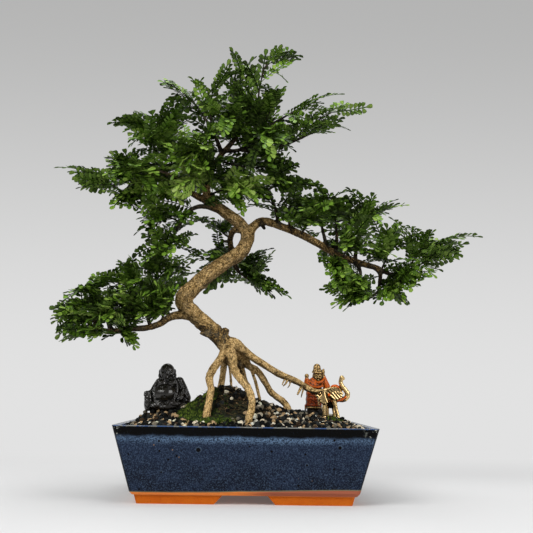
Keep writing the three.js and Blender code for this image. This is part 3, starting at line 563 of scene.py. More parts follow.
def makeBed(bm):
    cellsX, cellsY = soilLook["bedCells"]
    footX, footY, footZ = soilLook["bedFoot"]
    tone = bm.verts.layers.float_color.new("stoneColor")
    bmesh.ops.create_grid(bm, x_segments=cellsX, y_segments=cellsY, size=0.5)
    bmesh.ops.scale(bm, verts=bm.verts, vec=(*soilLook["bedSize"], 1))
    for vert in bm.verts:
        vert.co.z = groundAt(vert.co.x, vert.co.y) - soilLook["bedDrop"]
        vert.co.z += soilLook["bedWaver"] * noise.noise(vert.co * 0.3)
        vert[tone] = soilLook["bedTone"]
    skirt = bmesh.ops.extrude_face_region(bm, geom=bm.faces[:])
    for vert in (item for item in skirt["geom"] if isinstance(item, bmesh.types.BMVert)):
        vert.co = Vector((vert.co.x * footX, vert.co.y * footY, footZ))
    bmesh.ops.recalc_face_normals(bm, faces=bm.faces)


def makeSoil():
    rng = random.Random(soilLook["seed"])
    bm = bmesh.new()
    makeBed(bm)
    shapes = stoneShapes(rng)
    halfX, halfY = soilLook["stoneHalf"]
    wallX, wallY = soilLook["wallHalf"]
    placed = 0
    while placed < soilLook["stones"]:
        x, y = rng.uniform(-halfX, halfX), rng.uniform(-halfY, halfY)
        size = min(rng.uniform(*soilLook["stoneSize"]), rng.uniform(*soilLook["stoneSize"]) + 0.8)
        if mossCover(x, y) > 0.05 and rng.random() < 0.6 + 0.38 * greenAt(x, y):
            continue
        if seatUnder(x, y, size * 0.4) is not None and seatUnder(x, y, -2) is not None:
            continue
        if abs(x) > wallX - size or abs(y) > wallY - size:
            continue
        turn = tumble(rng)
        rise = groundAt(x, y) + rng.uniform(-0.9, 0.7)
        matrix = Matrix.Translation((x, y, rise)) @ turn @ Matrix.Scale(size, 4)
        addShape(bm, rng.choice(shapes), matrix, "stoneColor", stoneTone(rng))
        placed += 1
    shapes = stoneShapes(rng, plain=True)
    rangeX, rangeY = soilLook["crumbArea"]
    placed = 0
    while placed < soilLook["crumbs"]:
        x, y = rng.uniform(*rangeX), rng.uniform(*rangeY)
        if greenAt(x, y) > 0.6 or soilHeight(x, y) < soilLook["edge"] + 10.5 + rng.uniform(0, 6):
            continue
        size = rng.uniform(*soilLook["crumbSize"])
        over = mossSwell(x, y) - 0.4
        turn = tumble(rng)
        matrix = Matrix.Translation((x, y, soilHeight(x, y) + over)) @ turn @ Matrix.Scale(size, 4)
        tone = pickTone(rng, soilLook["crumbTones"])
        addShape(bm, rng.choice(shapes), matrix, "stoneColor", [*tone, 1])
        placed += 1
    return addPiece("gravelBed", meshOf(bm, "gravelBed", 35), gravelMaterial(), ["soil"])


makeSoil()

# Moss: a cushion on the front of the mound, with short tufts. Outliers are small patches among the gravel,
# by the elephant's feet and below the cushion: middle, spread and number of tufts.
mossLook = {"cells": (72, 66), "size": (86, 78), "middle": (-34, -24), "green": 0.35, "depth": 3.4,
            "clumps": 1050, "clumpArea": ((-76, 12), (-62, 14)),
            "lights": (0.18, 0.26, 0.34, 0.42, 0.5, 0.62, 0.95), "tuftsEach": 8, "tuftHeight": (1.4, 3.4),
            "fibres": 420, "fibreArea": ((-52, 34), (-52, 14)), "fibreLength": (3.5, 10), "seed": 5,
            "outliers": ((99, 12, 8.5, 7, 240), (-40, -62, 17, 8, 900), (-22, -62, 9, 7, 260))}


def mossMaterial():
    material, tree, shader, place = newMaterial("moss", 0.9)
    fine = noiseOf(tree, place, 700, 3, 0.6)
    level = swayed(tree, attributeOf(tree, "green"), noiseOf(tree, place, 260, 4, 0.65), 0.9)
    moss = rampOf(tree, level,
                  [(0.12, (0.007, 0.006, 0.003)), (0.34, (0.008, 0.017, 0.003)),
                   (0.60, (0.018, 0.042, 0.005)), (0.82, (0.060, 0.105, 0.009)),
                   (1.0, (0.190, 0.270, 0.030))])
    earth = rampOf(tree, noiseOf(tree, place, 300, 4, 0.7),
                   [(0.36, (0.004, 0.004, 0.002)), (0.52, (0.010, 0.012, 0.004)),
                    (0.64, (0.032, 0.030, 0.009)), (0.76, (0.20, 0.13, 0.055))])
    tip = attributeOf(tree, "tip")
    earth = blend(tree, times(tree, tip, 0.75), earth, (0.240, 0.150, 0.066))
    color = blend(tree, rangeOf(tree, attributeOf(tree, "green"), 0.05, 0.25), earth, moss)
    color = blend(tree, rangeOf(tree, fine, 0.4, 0.7, 0.0, 0.45), color, (0.006, 0.008, 0.003))
    tree.links.new(color, shader.inputs["Base Color"])
    shader.inputs["Specular IOR Level"].default_value = 0.2
    bumpOf(tree, shader, fine, 0.7, 0.0006)
    return material


def tuftMesh():
    shape = bmesh.new()
    bmesh.ops.create_cone(shape, segments=3, cap_ends=True, radius1=0.42, radius2=0.0, depth=1.0)
    bmesh.ops.remove_doubles(shape, verts=shape.verts, dist=0.01)
    bmesh.ops.translate(shape, verts=shape.verts, vec=(0, 0, 0.4))
    marks = shape.verts.layers.float.new("tip")
    shape.verts.layers.float.new("green")
    for vert in shape.verts:
        vert[marks] = 1.0 if vert.co.z > 0.5 else 0.0
    return frozen(shape, "tuft")


def mossTop(x, y):
    lump = 0.8 * noise.noise(Vector((x, y, 0)) * 0.16) + 0.4 * noise.noise(Vector((x, y, 9)) * 0.5)
    return soilHeight(x, y) - 0.6 + mossSwell(x, y) * (1 + lump)


def makeCushion(bm):
    cellsX, cellsY = mossLook["cells"]
    bm.verts.layers.float.new("tip")
    green = bm.verts.layers.float.new("green")
    bmesh.ops.create_grid(bm, x_segments=cellsX, y_segments=cellsY, size=0.5)
    bmesh.ops.scale(bm, verts=bm.verts, vec=(*mossLook["size"], 1))
    bmesh.ops.translate(bm, verts=bm.verts, vec=(*mossLook["middle"], 0))
    bare = [face for face in bm.faces if mossCover(*face.calc_center_median().xy) < 0]
    bmesh.ops.delete(bm, geom=bare, context="FACES")
    for vert in bm.verts:
        vert[green] = mossLook["green"] * greenAt(*vert.co.xy)
        vert.co.z = mossTop(*vert.co.xy)
    sole = bmesh.ops.extrude_face_region(bm, geom=bm.faces[:])
    for vert in (item for item in sole["geom"] if isinstance(item, bmesh.types.BMVert)):
        vert.co.z = soilHeight(*vert.co.xy) - mossLook["depth"]
    bmesh.ops.recalc_face_normals(bm, faces=bm.faces)


def growClump(bm, tuft, rng, x, y):
    light = rng.choice(mossLook["lights"]) * (0.8 if x > -34 else 1)
    for _ in range(mossLook["tuftsEach"]):
        awayX, awayY = rng.gauss(0, 0.75), rng.gauss(0, 0.75)
        lean = Euler((-awayY * 0.5, awayX * 0.5, 0)).to_matrix().to_4x4()
        height = rng.uniform(*mossLook["tuftHeight"]) * (0.6 + 0.6 * light)
        spot = Matrix.Translation((x + awayX, y + awayY, mossTop(x + awayX, y + awayY) - 0.2))
        addShape(bm, tuft, spot @ lean @ Matrix.Diagonal((1, 1, height, 1)), "green", light)


def layFibre(bm, tuft, rng, x, y):
    # a dead rootlet that lies on the bare part of the mound
    lean = Euler((rng.uniform(1.0, 1.7), 0, rng.uniform(-1.9, 1.9))).to_matrix().to_4x4()
    shape = Matrix.Diagonal((0.7, 0.7, rng.uniform(*mossLook["fibreLength"]), 1))
    over = max(mossTop(x, y), soilHeight(x, y)) + 0.6
    addShape(bm, tuft, Matrix.Translation((x, y, over)) @ lean @ shape, "green", 0.0)


def makeMoss():
    rng = random.Random(mossLook["seed"])
    bm = bmesh.new()
    makeCushion(bm)
    tuft = tuftMesh()
    placed = 0
    rangeX, rangeY = mossLook["clumpArea"]
    while placed < mossLook["clumps"]:
        x, y = rng.uniform(*rangeX), rng.uniform(*rangeY)
        if mossCover(x, y) < 0.0 or rng.random() > greenAt(x, y):
            continue
        growClump(bm, tuft, rng, x, y)
        placed += 1
    placed = 0
    rangeX, rangeY = mossLook["fibreArea"]
    while placed < mossLook["fibres"]:
        x, y = rng.uniform(*rangeX), rng.uniform(*rangeY)
        if greenAt(x, y) > 0.5 or soilHeight(x, y) < soilLook["edge"] + 11:
            continue
        layFibre(bm, tuft, rng, x, y)
        placed += 1
    for middleX, middleY, spreadX, spreadY, count in mossLook["outliers"]:
        for _ in range(count):
            x, y = rng.gauss(middleX, spreadX / 2), rng.gauss(middleY, spreadY / 2)
            lean = Euler((rng.uniform(-0.7, 0.7), rng.uniform(-0.7, 0.7),
                          rng.uniform(0, 6.28))).to_matrix().to_4x4()
            spot = Matrix.Translation((x, y, groundAt(x, y) + rng.uniform(0.2, 2.2)))
            addShape(bm, tuft, spot @ lean @ Matrix.Diagonal((1, 1, rng.uniform(1.5, 3), 1)), "green",
                     rng.uniform(0.5, 1))
    return addPiece("mossCushion", meshOf(bm, "mossCushion", 60), mossMaterial(), ["moss"])


makeMoss()

# Wood: trunk, roots and thick branches share one skin with bark; thin twigs are round tapering curves.
woodLook = {"skinFrom": 2.55, "voxel": 0.9, "smoothing": 3, "thickBark": (1.1, 0.6), "thinBark": (0.4, 0.3),
            "twigFoot": 1.35, "twigLoss": 0.75, "rootTone": 0.76, "darkTone": 0.42, "thinTone": 2.2,
            "toneSpan": 2.6, "thickTone": 0.68}
# Each bar is a row of points: x and z as the photo shows them on the pot's middle plane, depth, radius.
woodBars = {
    "trunk": [(-22, 158, 0, 9.6), (-31, 168, 0, 9.6), (-46, 181, -2, 9.2), (-60, 193, -4, 9),
        (-70, 203, -6, 9.4), (-72, 211, -7, 9.8), (-64, 221, -6, 9.4), (-51, 234, -4, 8.8),
        (-38, 245, -2, 8.4), (-24, 255, 0, 8.2), (-11, 264, 0, 8), (-4, 275, 0, 7.8),
        (-2, 288, 0, 7.6)],
    "elbow": [(-70, 214, -7, 8.6), (-78, 213, -8, 6)],
    "leader": [(-2, 286, 0, 7.2), (-13, 299, 1, 6.8), (-25, 308, 2, 6.6), (-36, 316, 3, 6.2),
        (-46, 325, 3, 5.2), (-51, 338, 2, 4.4), (-46, 358, 0, 3.8), (-34, 380, 0, 3.2),
        (-20, 398, 0, 2.8), (-12, 415, 0, 2.4), (-12, 436, 0, 1.9)],
    "leader_stub": [(-42, 321, 3, 4.6), (-53, 323, 3, 3.8)],
    "right_branch": [(-3, 284, 0, 6.4), (4, 295, -1, 5.2), (14, 301, -2, 4.9), (26, 299, -3, 4.6),
        (40, 294, -4, 4.4), (56, 288, -5, 4.3), (72, 280, -6, 4.2), (88, 271, -6, 4.1),
        (104, 262, -6, 4), (120, 257, -6, 3.7), (134, 253, -6, 3.4), (146, 250, -6, 3),
        (158, 244, -6, 2.4), (168, 242, -6, 2.2), (178, 247, -6, 2), (188, 252, -7, 1.7)],
    "right_stub": [(12, 300, -3, 2.6), (17, 292, -5, 1.9)],
    "hanging_branch": [(140, 252, -6, 3), (148, 245, -6, 2.6), (148, 234, -6, 2.3), (146, 221, -6, 1.9)],
    "right_down_twig": [(120, 256, -6, 2.6), (126, 246, -7, 2.1), (126, 236, -8, 1.6)],
    "right_twig_1": [(33, 298, -4, 2.7), (28, 318, -3, 2.1), (18, 342, -2, 1.5)],
    "right_twig_2": [(48, 291, -5, 2.6), (44, 306, -4, 2), (40, 322, -3, 1.5)],
    "right_twig_3": [(88, 272, -6, 2.6), (84, 288, -4, 2), (80, 306, -2, 1.5)],
    "right_twig_4": [(98, 266, -6, 2.6), (99, 288, -4, 2), (97, 308, -3, 1.5)],
    "right_twig_5": [(120, 257, -6, 2.6), (122, 274, -4, 2), (128, 291, -2, 1.5)],
    "low_branch": [(-56, 189, -3, 5.4), (-72, 192, -5, 4.7), (-86, 190, -6, 4.2), (-98, 182, -6, 3.8),
        (-113, 177, -5, 3.5), (-130, 176, -4, 3.4), (-146, 173, -3, 3.3), (-160, 173, -2, 3.4),
        (-176, 178, -2, 3.4)],
    "low_twig_1": [(-167, 175, -2, 2.5), (-172, 192, -2, 1.9), (-173, 212, -3, 1.5)],
    "low_twig_2": [(-152, 174, -3, 2.2), (-157, 188, -2, 1.7), (-160, 200, 0, 1.4)],
    "low_twig_3": [(-127, 176, -4, 2.3), (-124, 189, -3, 1.9), (-128, 203, -2, 1.6), (-131, 216, -2, 1.4)],
    "low_twig_4": [(-108, 179, -5, 2.3), (-112, 193, -6, 1.9), (-108, 210, -6, 1.6), (-105, 228, -5, 1.4)],
    "left_branch": [(-44, 322, 3, 4.6), (-60, 328, 3, 3.8), (-76, 339, 3, 3.5), (-92, 350, 2, 3.3),
        (-105, 356, 2, 3.3), (-120, 349, 2, 2.8), (-134, 340, 1, 2.5), (-146, 332, 0, 2.1)],
    "left_riser": [(-101, 355, 2, 2.8), (-104, 372, 3, 2.3), (-102, 388, 4, 2), (-108, 402, 5, 1.5)],
    "left_drooper": [(-36, 313, 3, 4), (-52, 317, -2, 3), (-64, 315, -5, 2.6), (-73, 308, -6, 2.4),
        (-79, 297, -6, 2.2), (-85, 285, -5, 1.9), (-89, 272, -4, 1.5)],
    "crown_left_twig": [(-34, 380, 0, 2.7), (-44, 404, 4, 2.1), (-56, 424, 6, 1.7), (-67, 439, 8, 1.4)],
    "crown_right_twig": [(-32, 383, 0, 2.6), (-12, 386, -1, 2.4), (1, 396, 0, 2), (5, 420, 2, 1.7),
        (6, 442, 4, 1.4)],
    "upper_right_twig": [(-14, 386, -1, 2.4), (4, 384, -1, 2.3), (22, 389, -2, 2), (40, 394, -2, 1.8),
        (58, 402, -2, 1.4)],
    "shoulder_twig": [(4, 406, 1, 1.9), (18, 414, 0, 1.7), (31, 423, 0, 1.4)],
    "back_branch": [(-10, 291, 3, 4.4), (-18, 290, 10, 3.8), (-22, 281, 17, 3.5), (-21, 268, 22, 3.2),
        (-17, 252, 24, 2.8), (-11, 241, 26, 2.2)],
    "back_stub": [(-21, 277, 18, 2), (-30, 277, 19, 1.4)],
    "knob": [(-27, 169, -4, 5), (-24, 178, -8, 3.8)],
    "dark_stub": [(-36, 168, -4, 3), (-45, 170, -8, 2.4), (-53, 173, -10, 1.9)],
    "root_crown": [(-20, 160, 0, 9), (-20, 150, -1, 7.4), (-18, 142, 0, 4.6)],
    "root_left": [(-24, 154, -1, 5.6), (-30, 144, -8, 4.5), (-38, 132, -16, 4.4), (-41, 125, -21, 4.1),
        (-40, 117, -27, 3.8), (-39, 112, -31, 3.8), (-40, 104, -37, 3.8), (-41, 96, -42, 3.7),
        (-42, 89, -46, 3.8), (-43, 82, -48, 4.1), (-43, 74, -50, 3.4)],
    "root_back_left": [(-24, 150, 3, 5), (-25, 142, 7, 3.8), (-26, 132, 11, 3.6), (-27, 124, 14, 3.6),
        (-28, 115, 16, 3.8), (-29, 106, 17, 3.6)],
    "root_thin_back": [(-20, 145, 3, 3), (-19, 135, 6, 1.7), (-18, 126, 9, 1.6), (-17, 116, 11, 1.6),
        (-17, 108, 12, 1.7)],
    "root_front": [(-20, 154, -3, 5.6), (-16, 144, -11, 4.9), (-15, 136, -17, 4.3), (-12, 129, -23, 4.3),
        (-6, 122, -29, 4.3), (-1, 116, -36, 4.2), (4, 108, -43, 4), (6, 101, -49, 3.8),
        (6, 94, -54, 3.6), (5, 87, -58, 3.8), (3, 80, -60, 4.1), (4, 70, -62, 3.4)],
    "root_dark_back": [(-10, 143, 4, 4.2), (-5, 132, 8, 3.1), (-2, 123, 11, 2.7), (1, 113, 14, 2.5),
        (3, 101, 16, 2.5)],
    "root_inner": [(-16, 157, 1, 5.4), (-10, 149, 4, 4.6), (-4, 142, 9, 4.2), (4, 136, 13, 4),
        (11, 132, 15, 4.1), (17, 125, 16, 3.9), (22, 117, 18, 3.7), (26, 110, 20, 3.6),
        (32, 105, 21, 3.7), (39, 100, 22, 3.8), (44, 95, 22, 3.7), (48, 86, 22, 3.2)],
    "root_thin": [(-2, 151, 2, 2.6), (2, 141, 6, 2.1), (6, 130, 10, 1.9), (10, 119, 13, 1.9),
        (13, 108, 15, 1.9), (15, 100, 17, 1.9), (19, 90, 18, 1.9)],
    "root_long": [(-19, 162, -1, 7), (-13, 161, -2, 6.4), (-6, 156, -2, 5.2), (3, 149, -2, 4.3),
        (14, 142, 0, 4.1), (25, 135, 3, 3.9), (36, 129, 7, 3.8), (48, 124, 13, 3.7),
        (59, 119, 22, 3.6), (69, 113, 32, 3.5), (77, 110, 40, 3.3), (83, 107, 43, 3.1),
        (85.5, 99, 44, 2.9), (86, 88, 45, 2.8), (86, 76, 46, 2.8)],
    "rootlet_1": [(45, 124, 10, 1.5), (43, 119, 8, 1.1), (40, 116, 7, 0.6)],
    "rootlet_2": [(43, 125, 9, 1.2), (40, 120, 7, 0.8), (39, 117, 7, 0.5)],
    "rootlet_3": [(48, 123, 12, 1.2), (47, 117, 11, 0.7), (45, 114, 11, 0.4)],
    "root_tip": [(64, 115.6, 28, 2.7), (73, 111.4, 21, 2.5), (80, 111.2, 17.5, 2.1), (86, 113, 17, 1.4)],
    "rootlet_4": [(61, 117, 23, 2), (58, 111, 20, 1.5), (56, 107, 18, 1)],
    "rootlet_5": [(63, 115, 26, 1.3), (61, 108, 24, 0.8), (60, 104, 24, 0.5)],
    "rootlet_6": [(-8, 137, 8, 1.4), (-9, 130, 4, 1), (-7, 124, 2, 0.6)],
}

# Each spray: the points of its twig, then the tips of its outermost leaves, as x, z and depth.
sprays = {
    "crown_spire": ([(-12, 434, 0), (-13, 452, -1), (-15, 471, -2)],
        [(-29, 509, -6), (4, 501, 12), (-43, 478, -14)]),
    "crown_spire_right": ([(6, 440, 4), (8, 462, 6), (13, 486, 6)],
        [(50, 499, 6), (41, 469, -10), (-8, 490, 22)]),
    "crown_left_top": ([(-66, 438, 8), (-75, 447, 8), (-84, 457, 8)],
        [(-106, 470, 8), (-57, 473, 12), (-95, 441, 22)]),
    "crown_left_shoulder": ([(-46, 407, 4), (-49, 430, -10), (-47, 458, -16)],
        [(-27, 497, -12), (-68, 470, -28), (-22, 460, -42)]),
    "crown_front_upper": ([(-14, 410, 0), (-24, 418, -28), (-30, 424, -50)],
        [(-50, 440, -88), (-8, 442, -86), (-34, 400, -92)]),
    "crown_front_left": ([(-47, 356, 0), (-60, 372, -26), (-66, 384, -46)],
        [(-92, 398, -78), (-52, 384, -92), (-100, 366, -66)]),
    "crown_front_right": ([(2, 398, 0), (12, 400, -26), (16, 402, -46)],
        [(46, 412, -72), (14, 388, -92), (20, 372, -84)]),
    "crown_back_upper": ([(-12, 420, 0), (-16, 424, 28), (-18, 430, 48)],
        [(-44, 440, 82), (12, 444, 80), (-22, 404, 92)]),
    "crown_back_left": ([(-51, 342, 2), (-68, 360, 26), (-76, 372, 44)],
        [(-112, 384, 66), (-72, 396, 88), (-78, 415, 70)]),
    "crown_back_right": ([(-8, 386, 0), (8, 388, 26), (18, 392, 44)],
        [(56, 396, 70), (16, 400, 92), (26, 366, 82)]),
    "crown_right_low": ([(-38, 372, 0), (-14, 366, -6), (8, 364, -8)],
        [(54, 360, -8), (43, 377, -24), (45, 350, 6)]),
    "crown_low_front": ([(-51, 336, 2), (-58, 346, -24), (-64, 352, -44)],
        [(-100, 362, -70), (-62, 362, -92), (-84, 330, -80)]),
    "crown_low_right": ([(-49, 330, 3), (-30, 338, -22), (-16, 342, -40)],
        [(28, 348, -58), (-10, 356, -88), (8, 322, -70)]),
    "upper_left_tip": ([(-108, 401, 5), (-118, 408, 6), (-126, 411, 6)],
        [(-158, 413, 6), (-139, 426, -14), (-143, 390, 18)]),
    "upper_left_front": ([(-104, 374, 3), (-112, 384, -22), (-116, 390, -40)],
        [(-142, 394, -76), (-96, 418, -70), (-92, 380, -80)]),
    "upper_left_back": ([(-103, 382, 4), (-106, 388, 28), (-108, 394, 46)],
        [(-144, 400, 70), (-98, 412, 88), (-82, 392, 76)]),
    "left_mid_tip": ([(-146, 332, 0), (-160, 340, 2), (-174, 347, 4)],
        [(-226, 358, 6), (-205, 346, -14), (-191, 334, 20)]),
    "left_mid_front": ([(-118, 350, 2), (-126, 352, -24), (-132, 354, -42)],
        [(-170, 350, -66), (-132, 362, -92), (-106, 352, -78)]),
    "left_mid_back": ([(-122, 348, 2), (-132, 350, 28), (-138, 352, 46)],
        [(-178, 352, 66), (-130, 360, 92), (-112, 362, 80)]),
    "left_shoulder": ([(-90, 349, 2), (-94, 342, -10), (-98, 336, -18)],
        [(-134, 333, -24), (-124, 306, -34), (-88, 322, -58)]),
    "left_hanging_end": ([(-88, 276, -4), (-92, 270, -8), (-98, 266, -12)],
        [(-124, 283, -10), (-70, 269, -36), (-66, 285, 10)]),
    "left_hanging_mid": ([(-80, 298, -6), (-88, 302, -14), (-96, 305, -20)],
        [(-125, 297, -32), (-62, 300, -36), (-110, 316, -48)]),
    "low_left_tip": ([(-171, 186, -2), (-178, 188, 0), (-186, 190, 2)],
        [(-219, 184, 2), (-210, 198, -16), (-207, 206, 24)]),
    "low_left_under": ([(-160, 173, -2), (-166, 168, -6), (-172, 167, -10)],
        [(-205, 159, -12), (-204, 172, 8), (-174, 160, -48)]),
    "low_left_front": ([(-148, 174, -3), (-156, 184, -26), (-162, 190, -44)],
        [(-200, 190, -64), (-162, 200, -92), (-136, 184, -82)]),
    "low_left_back": ([(-158, 192, -1), (-164, 197, 26), (-168, 200, 44)],
        [(-202, 202, 66), (-160, 208, 90), (-140, 196, 78)]),
    "low_mid_top": ([(-131, 212, -2), (-132, 224, -4), (-132, 232, -6)],
        [(-155, 235, -34), (-146, 246, 26), (-136, 253, -38)]),
    "low_mid_front": ([(-126, 183, -4), (-128, 192, -28), (-130, 198, -46)],
        [(-160, 208, -76), (-118, 206, -92), (-104, 184, -84)]),
    "low_mid_back": ([(-128, 202, -2), (-128, 207, 26), (-128, 211, 46)],
        [(-158, 218, 74), (-118, 222, 90), (-100, 212, 78)]),
    "low_inner_top": ([(-105, 226, -5), (-104, 238, -6), (-102, 248, -8)],
        [(-64, 256, -16), (-122, 258, -38), (-97, 268, -44)]),
    "low_inner_front": ([(-110, 189, -6), (-102, 195, -30), (-96, 198, -46)],
        [(-57, 203, -62), (-94, 210, -92), (-124, 214, -84)]),
    "right_crown_mid": ([(30, 422, 0), (44, 431, 1), (57, 438, 2)],
        [(109, 457, 2), (90, 436, 20), (50, 420, -46)]),
    "right_crown_far": ([(42, 395, -2), (62, 411, 9), (78, 424, 11), (93, 434, 10)],
        [(142, 444, 8), (116, 412, 16), (88, 440, -24)]),
    "right_inner_top": ([(19, 338, -2), (26, 342, -6), (34, 345, -8)],
        [(74, 345, -10), (40, 346, -56), (10, 352, -48)]),
    "right_mid_top": ([(80, 302, -2), (82, 316, -4), (86, 326, -6)],
        [(112, 342, -26), (128, 332, 0), (66, 334, -38)]),
    "right_outer_top": ([(127, 288, -2), (132, 300, -3), (138, 310, -4)],
        [(173, 326, -2), (141, 339, -36), (150, 301, -44)]),
    "right_front_inner": ([(58, 287, -5), (64, 296, -28), (68, 302, -46)],
        [(98, 310, -78), (60, 316, -92), (40, 298, -78)]),
    "right_front_outer": ([(106, 261, -6), (110, 270, -30), (114, 276, -48)],
        [(148, 282, -76), (108, 288, -94), (84, 272, -82)]),
    "right_back_inner": ([(44, 306, -4), (50, 310, 24), (54, 314, 42)],
        [(86, 322, 70), (48, 326, 90), (24, 310, 74)]),
    "right_back_outer": ([(98, 302, -3), (104, 304, 24), (110, 306, 42)],
        [(146, 310, 66), (106, 318, 90), (84, 300, 80)]),
    "right_far_upper": ([(177, 247, -6), (187, 260, -6), (194, 271, -5), (212, 280, -4)],
        [(268, 288, -6), (158, 310, -8), (206, 296, -42)]),
    "right_far_lower": ([(186, 251, -7), (196, 256, -10), (206, 261, -12)],
        [(243, 271, -12), (213, 239, -28), (214, 263, -14), (186, 244, -52)]),
    "right_hang_left": ([(146, 223, -6), (138, 216, -8), (130, 213, -10)],
        [(93, 202, -12), (83, 228, -14), (124, 208, -52)]),
    "right_hang_right": ([(148, 234, -6), (154, 227, -6), (158, 222, -6)],
        [(177, 215, -36), (168, 234, 30), (152, 214, -46)]),
    "back_low_right": ([(-12, 242, 26), (-2, 235, 28), (6, 230, 28)],
        [(38, 215, 28), (17, 258, 36), (18, 232, 66)]),
    "back_low_left": ([(-20, 262, 23), (-30, 262, 28), (-38, 260, 32)],
        [(-47, 256, 72), (-45, 222, 46), (-30, 274, 66)]),
}

# These sprays are in this scene alone and fill thin parts of the canopy.
fillSprays = {
    "upper_left_top": ([(-102, 390, 4), (-98, 403, -2), (-92, 412, -6)],
        [(-88, 432, -36), (-120, 430, -30), (-62, 424, -14)]),
    "crown_right_shoulder": ([(5, 412, 2), (16, 424, -10), (22, 436, -18)],
        [(37, 462, -22), (-10, 450, -42)]),
    "crown_low_back": ([(-50, 346, 1), (-36, 350, 26), (-24, 352, 44)],
        [(18, 358, 62), (-24, 362, 94), (-60, 338, 86)]),
    "low_left_top": ([(-173, 210, -3), (-174, 216, -8), (-175, 222, -12)],
        [(-170, 230, -50), (-200, 214, -36), (-152, 222, 20)]),
    "left_mid_low": ([(-142, 335, 0), (-145, 326, -8), (-144, 320, -12)],
        [(-122, 318, -44), (-154, 318, -46)]),
    "low_drop": ([(-136, 175, -3), (-137, 170, -10), (-136, 167, -14)],
        [(-127, 158, -52)]),
    "right_under": ([(96, 267, -6), (98, 259, -14), (99, 253, -18)],
        [(76, 268, -50), (113, 236, -44)]),
    "right_down": ([(126, 240, -8), (122, 235, -12), (119, 232, -14)],
        [(96, 246, -40), (128, 228, -50)]),
    "back_mid": ([(-22, 281, 18), (-30, 286, 30), (-34, 290, 40)],
        [(-46, 300, 72), (-20, 300, 74)]),
    "left_mid_top": ([(-134, 340, 1), (-142, 350, -4), (-148, 360, -6)],
        [(-166, 374, -32), (-134, 372, 30), (-150, 372, -40)]),
    "low_inner_back": ([(-107, 214, -6), (-96, 222, 18), (-88, 228, 34)],
        [(-48, 240, 50), (-88, 240, 78), (-122, 226, 66)]),
    "right_crown_edge": ([(58, 402, -2), (66, 406, -4), (74, 409, -6)],
        [(93, 409, 6), (86, 422, -36), (62, 424, -44)]),
    "back_right_low": ([(-11, 241, 26), (-3, 236, 33), (4, 232, 40)],
        [(25, 221, 60), (36, 218, 50), (12, 226, 72)]),
    "back_right_high": ([(-17, 252, 24), (-8, 252, 32), (2, 254, 40)],
        [(19, 264, 66), (16, 246, 60), (2, 234, 74)]),
    "back_elbow": ([(-21, 258, 24), (-29, 248, 33), (-36, 240, 40)],
        [(-47, 216, 56), (-30, 223, 66), (-18, 230, 70)]),
    "crown_top_right": ([(13, 486, 6), (18, 494, 6), (22, 501, 4)],
        [(47, 504, 4), (30, 511, -8)]),
    "right_end_low": ([(158, 244, -6), (168, 236, -10), (174, 232, -14)],
        [(205, 240, -30), (196, 248, -40), (168, 222, -30)]),
    "right_end_top": ([(150, 248, -6), (156, 262, -2), (160, 274, 0)],
        [(148, 293, -34), (176, 296, 34), (130, 276, -44)]),
    "leader_front": ([(-38, 352, 1), (-32, 340, -12), (-24, 332, -20)],
        [(14, 316, -44), (-8, 306, -38), (24, 334, -52)]),
    "low_by_elbow": ([(-98, 182, -6), (-93, 194, -14), (-90, 202, -20)],
        [(-78, 226, -50), (-70, 200, -44), (-94, 220, -60)]),
    "crown_middle": ([(-44, 404, 4), (-50, 402, -14), (-53, 399, -24)],
        [(-38, 410, -62), (-64, 392, -60)]),
}

everySpray = {**sprays, **fillSprays}
boneAxis = Vector((0.577, 0.577, 0.577))


def woodTone(name, radius):
    # how light the bark is: roots are pale tan, thin twigs dark brown
    if name.startswith("root") and name != "root_dark_back":
        return woodLook["rootTone"]
    if name in ("knob", "dark_stub", "root_dark_back"):
        return woodLook["darkTone"]
    thickness = (radius - woodLook["thinTone"]) / woodLook["toneSpan"]
    return min(max(thickness, 0.0), 1.0) * woodLook["thickTone"]


def tubeMesh(bars, sides):
    curve = bpy.data.curves.new("wood", "CURVE")
    curve.dimensions = "3D"
    curve.resolution_u = 5
    curve.bevel_depth = 1.0
    curve.bevel_resolution = sides
    curve.use_fill_caps = True
    curve.twist_mode = "MINIMUM"
    for points in bars:
        spline = curve.splines.new("BEZIER")
        spline.bezier_points.add(len(points) - 1)
        for knot, (place, radius) in zip(spline.bezier_points, points):
            knot.co = place
            knot.radius = radius
            knot.handle_left_type = knot.handle_right_type = "AUTO"
    mesh = settled(bpy.data.objects.new("wood", curve))
    bpy.data.curves.remove(curve)
    return mesh


def barPoints(points):
    return [(seen(x, z, depth), radius) for x, z, depth, radius in points]


def boneSamples(bars):
    # closely spaced points along every bar: place, direction, radius, distance and lightness
    samples = []
    for name, points in bars.items():
        along = len(samples) * 7.3
        for (start, startRadius), (end, endRadius) in zip(points, points[1:]):
            span = end - start
            steps = max(int(span.length / 1.5), 1)
            for step in range(steps):
                share = step / steps
                radius = startRadius + (endRadius - startRadius) * share
                samples.append((start.lerp(end, share), span.normalized(), radius,
                                along + span.length * share, woodTone(name, radius)))
            along += span.length
    return samples


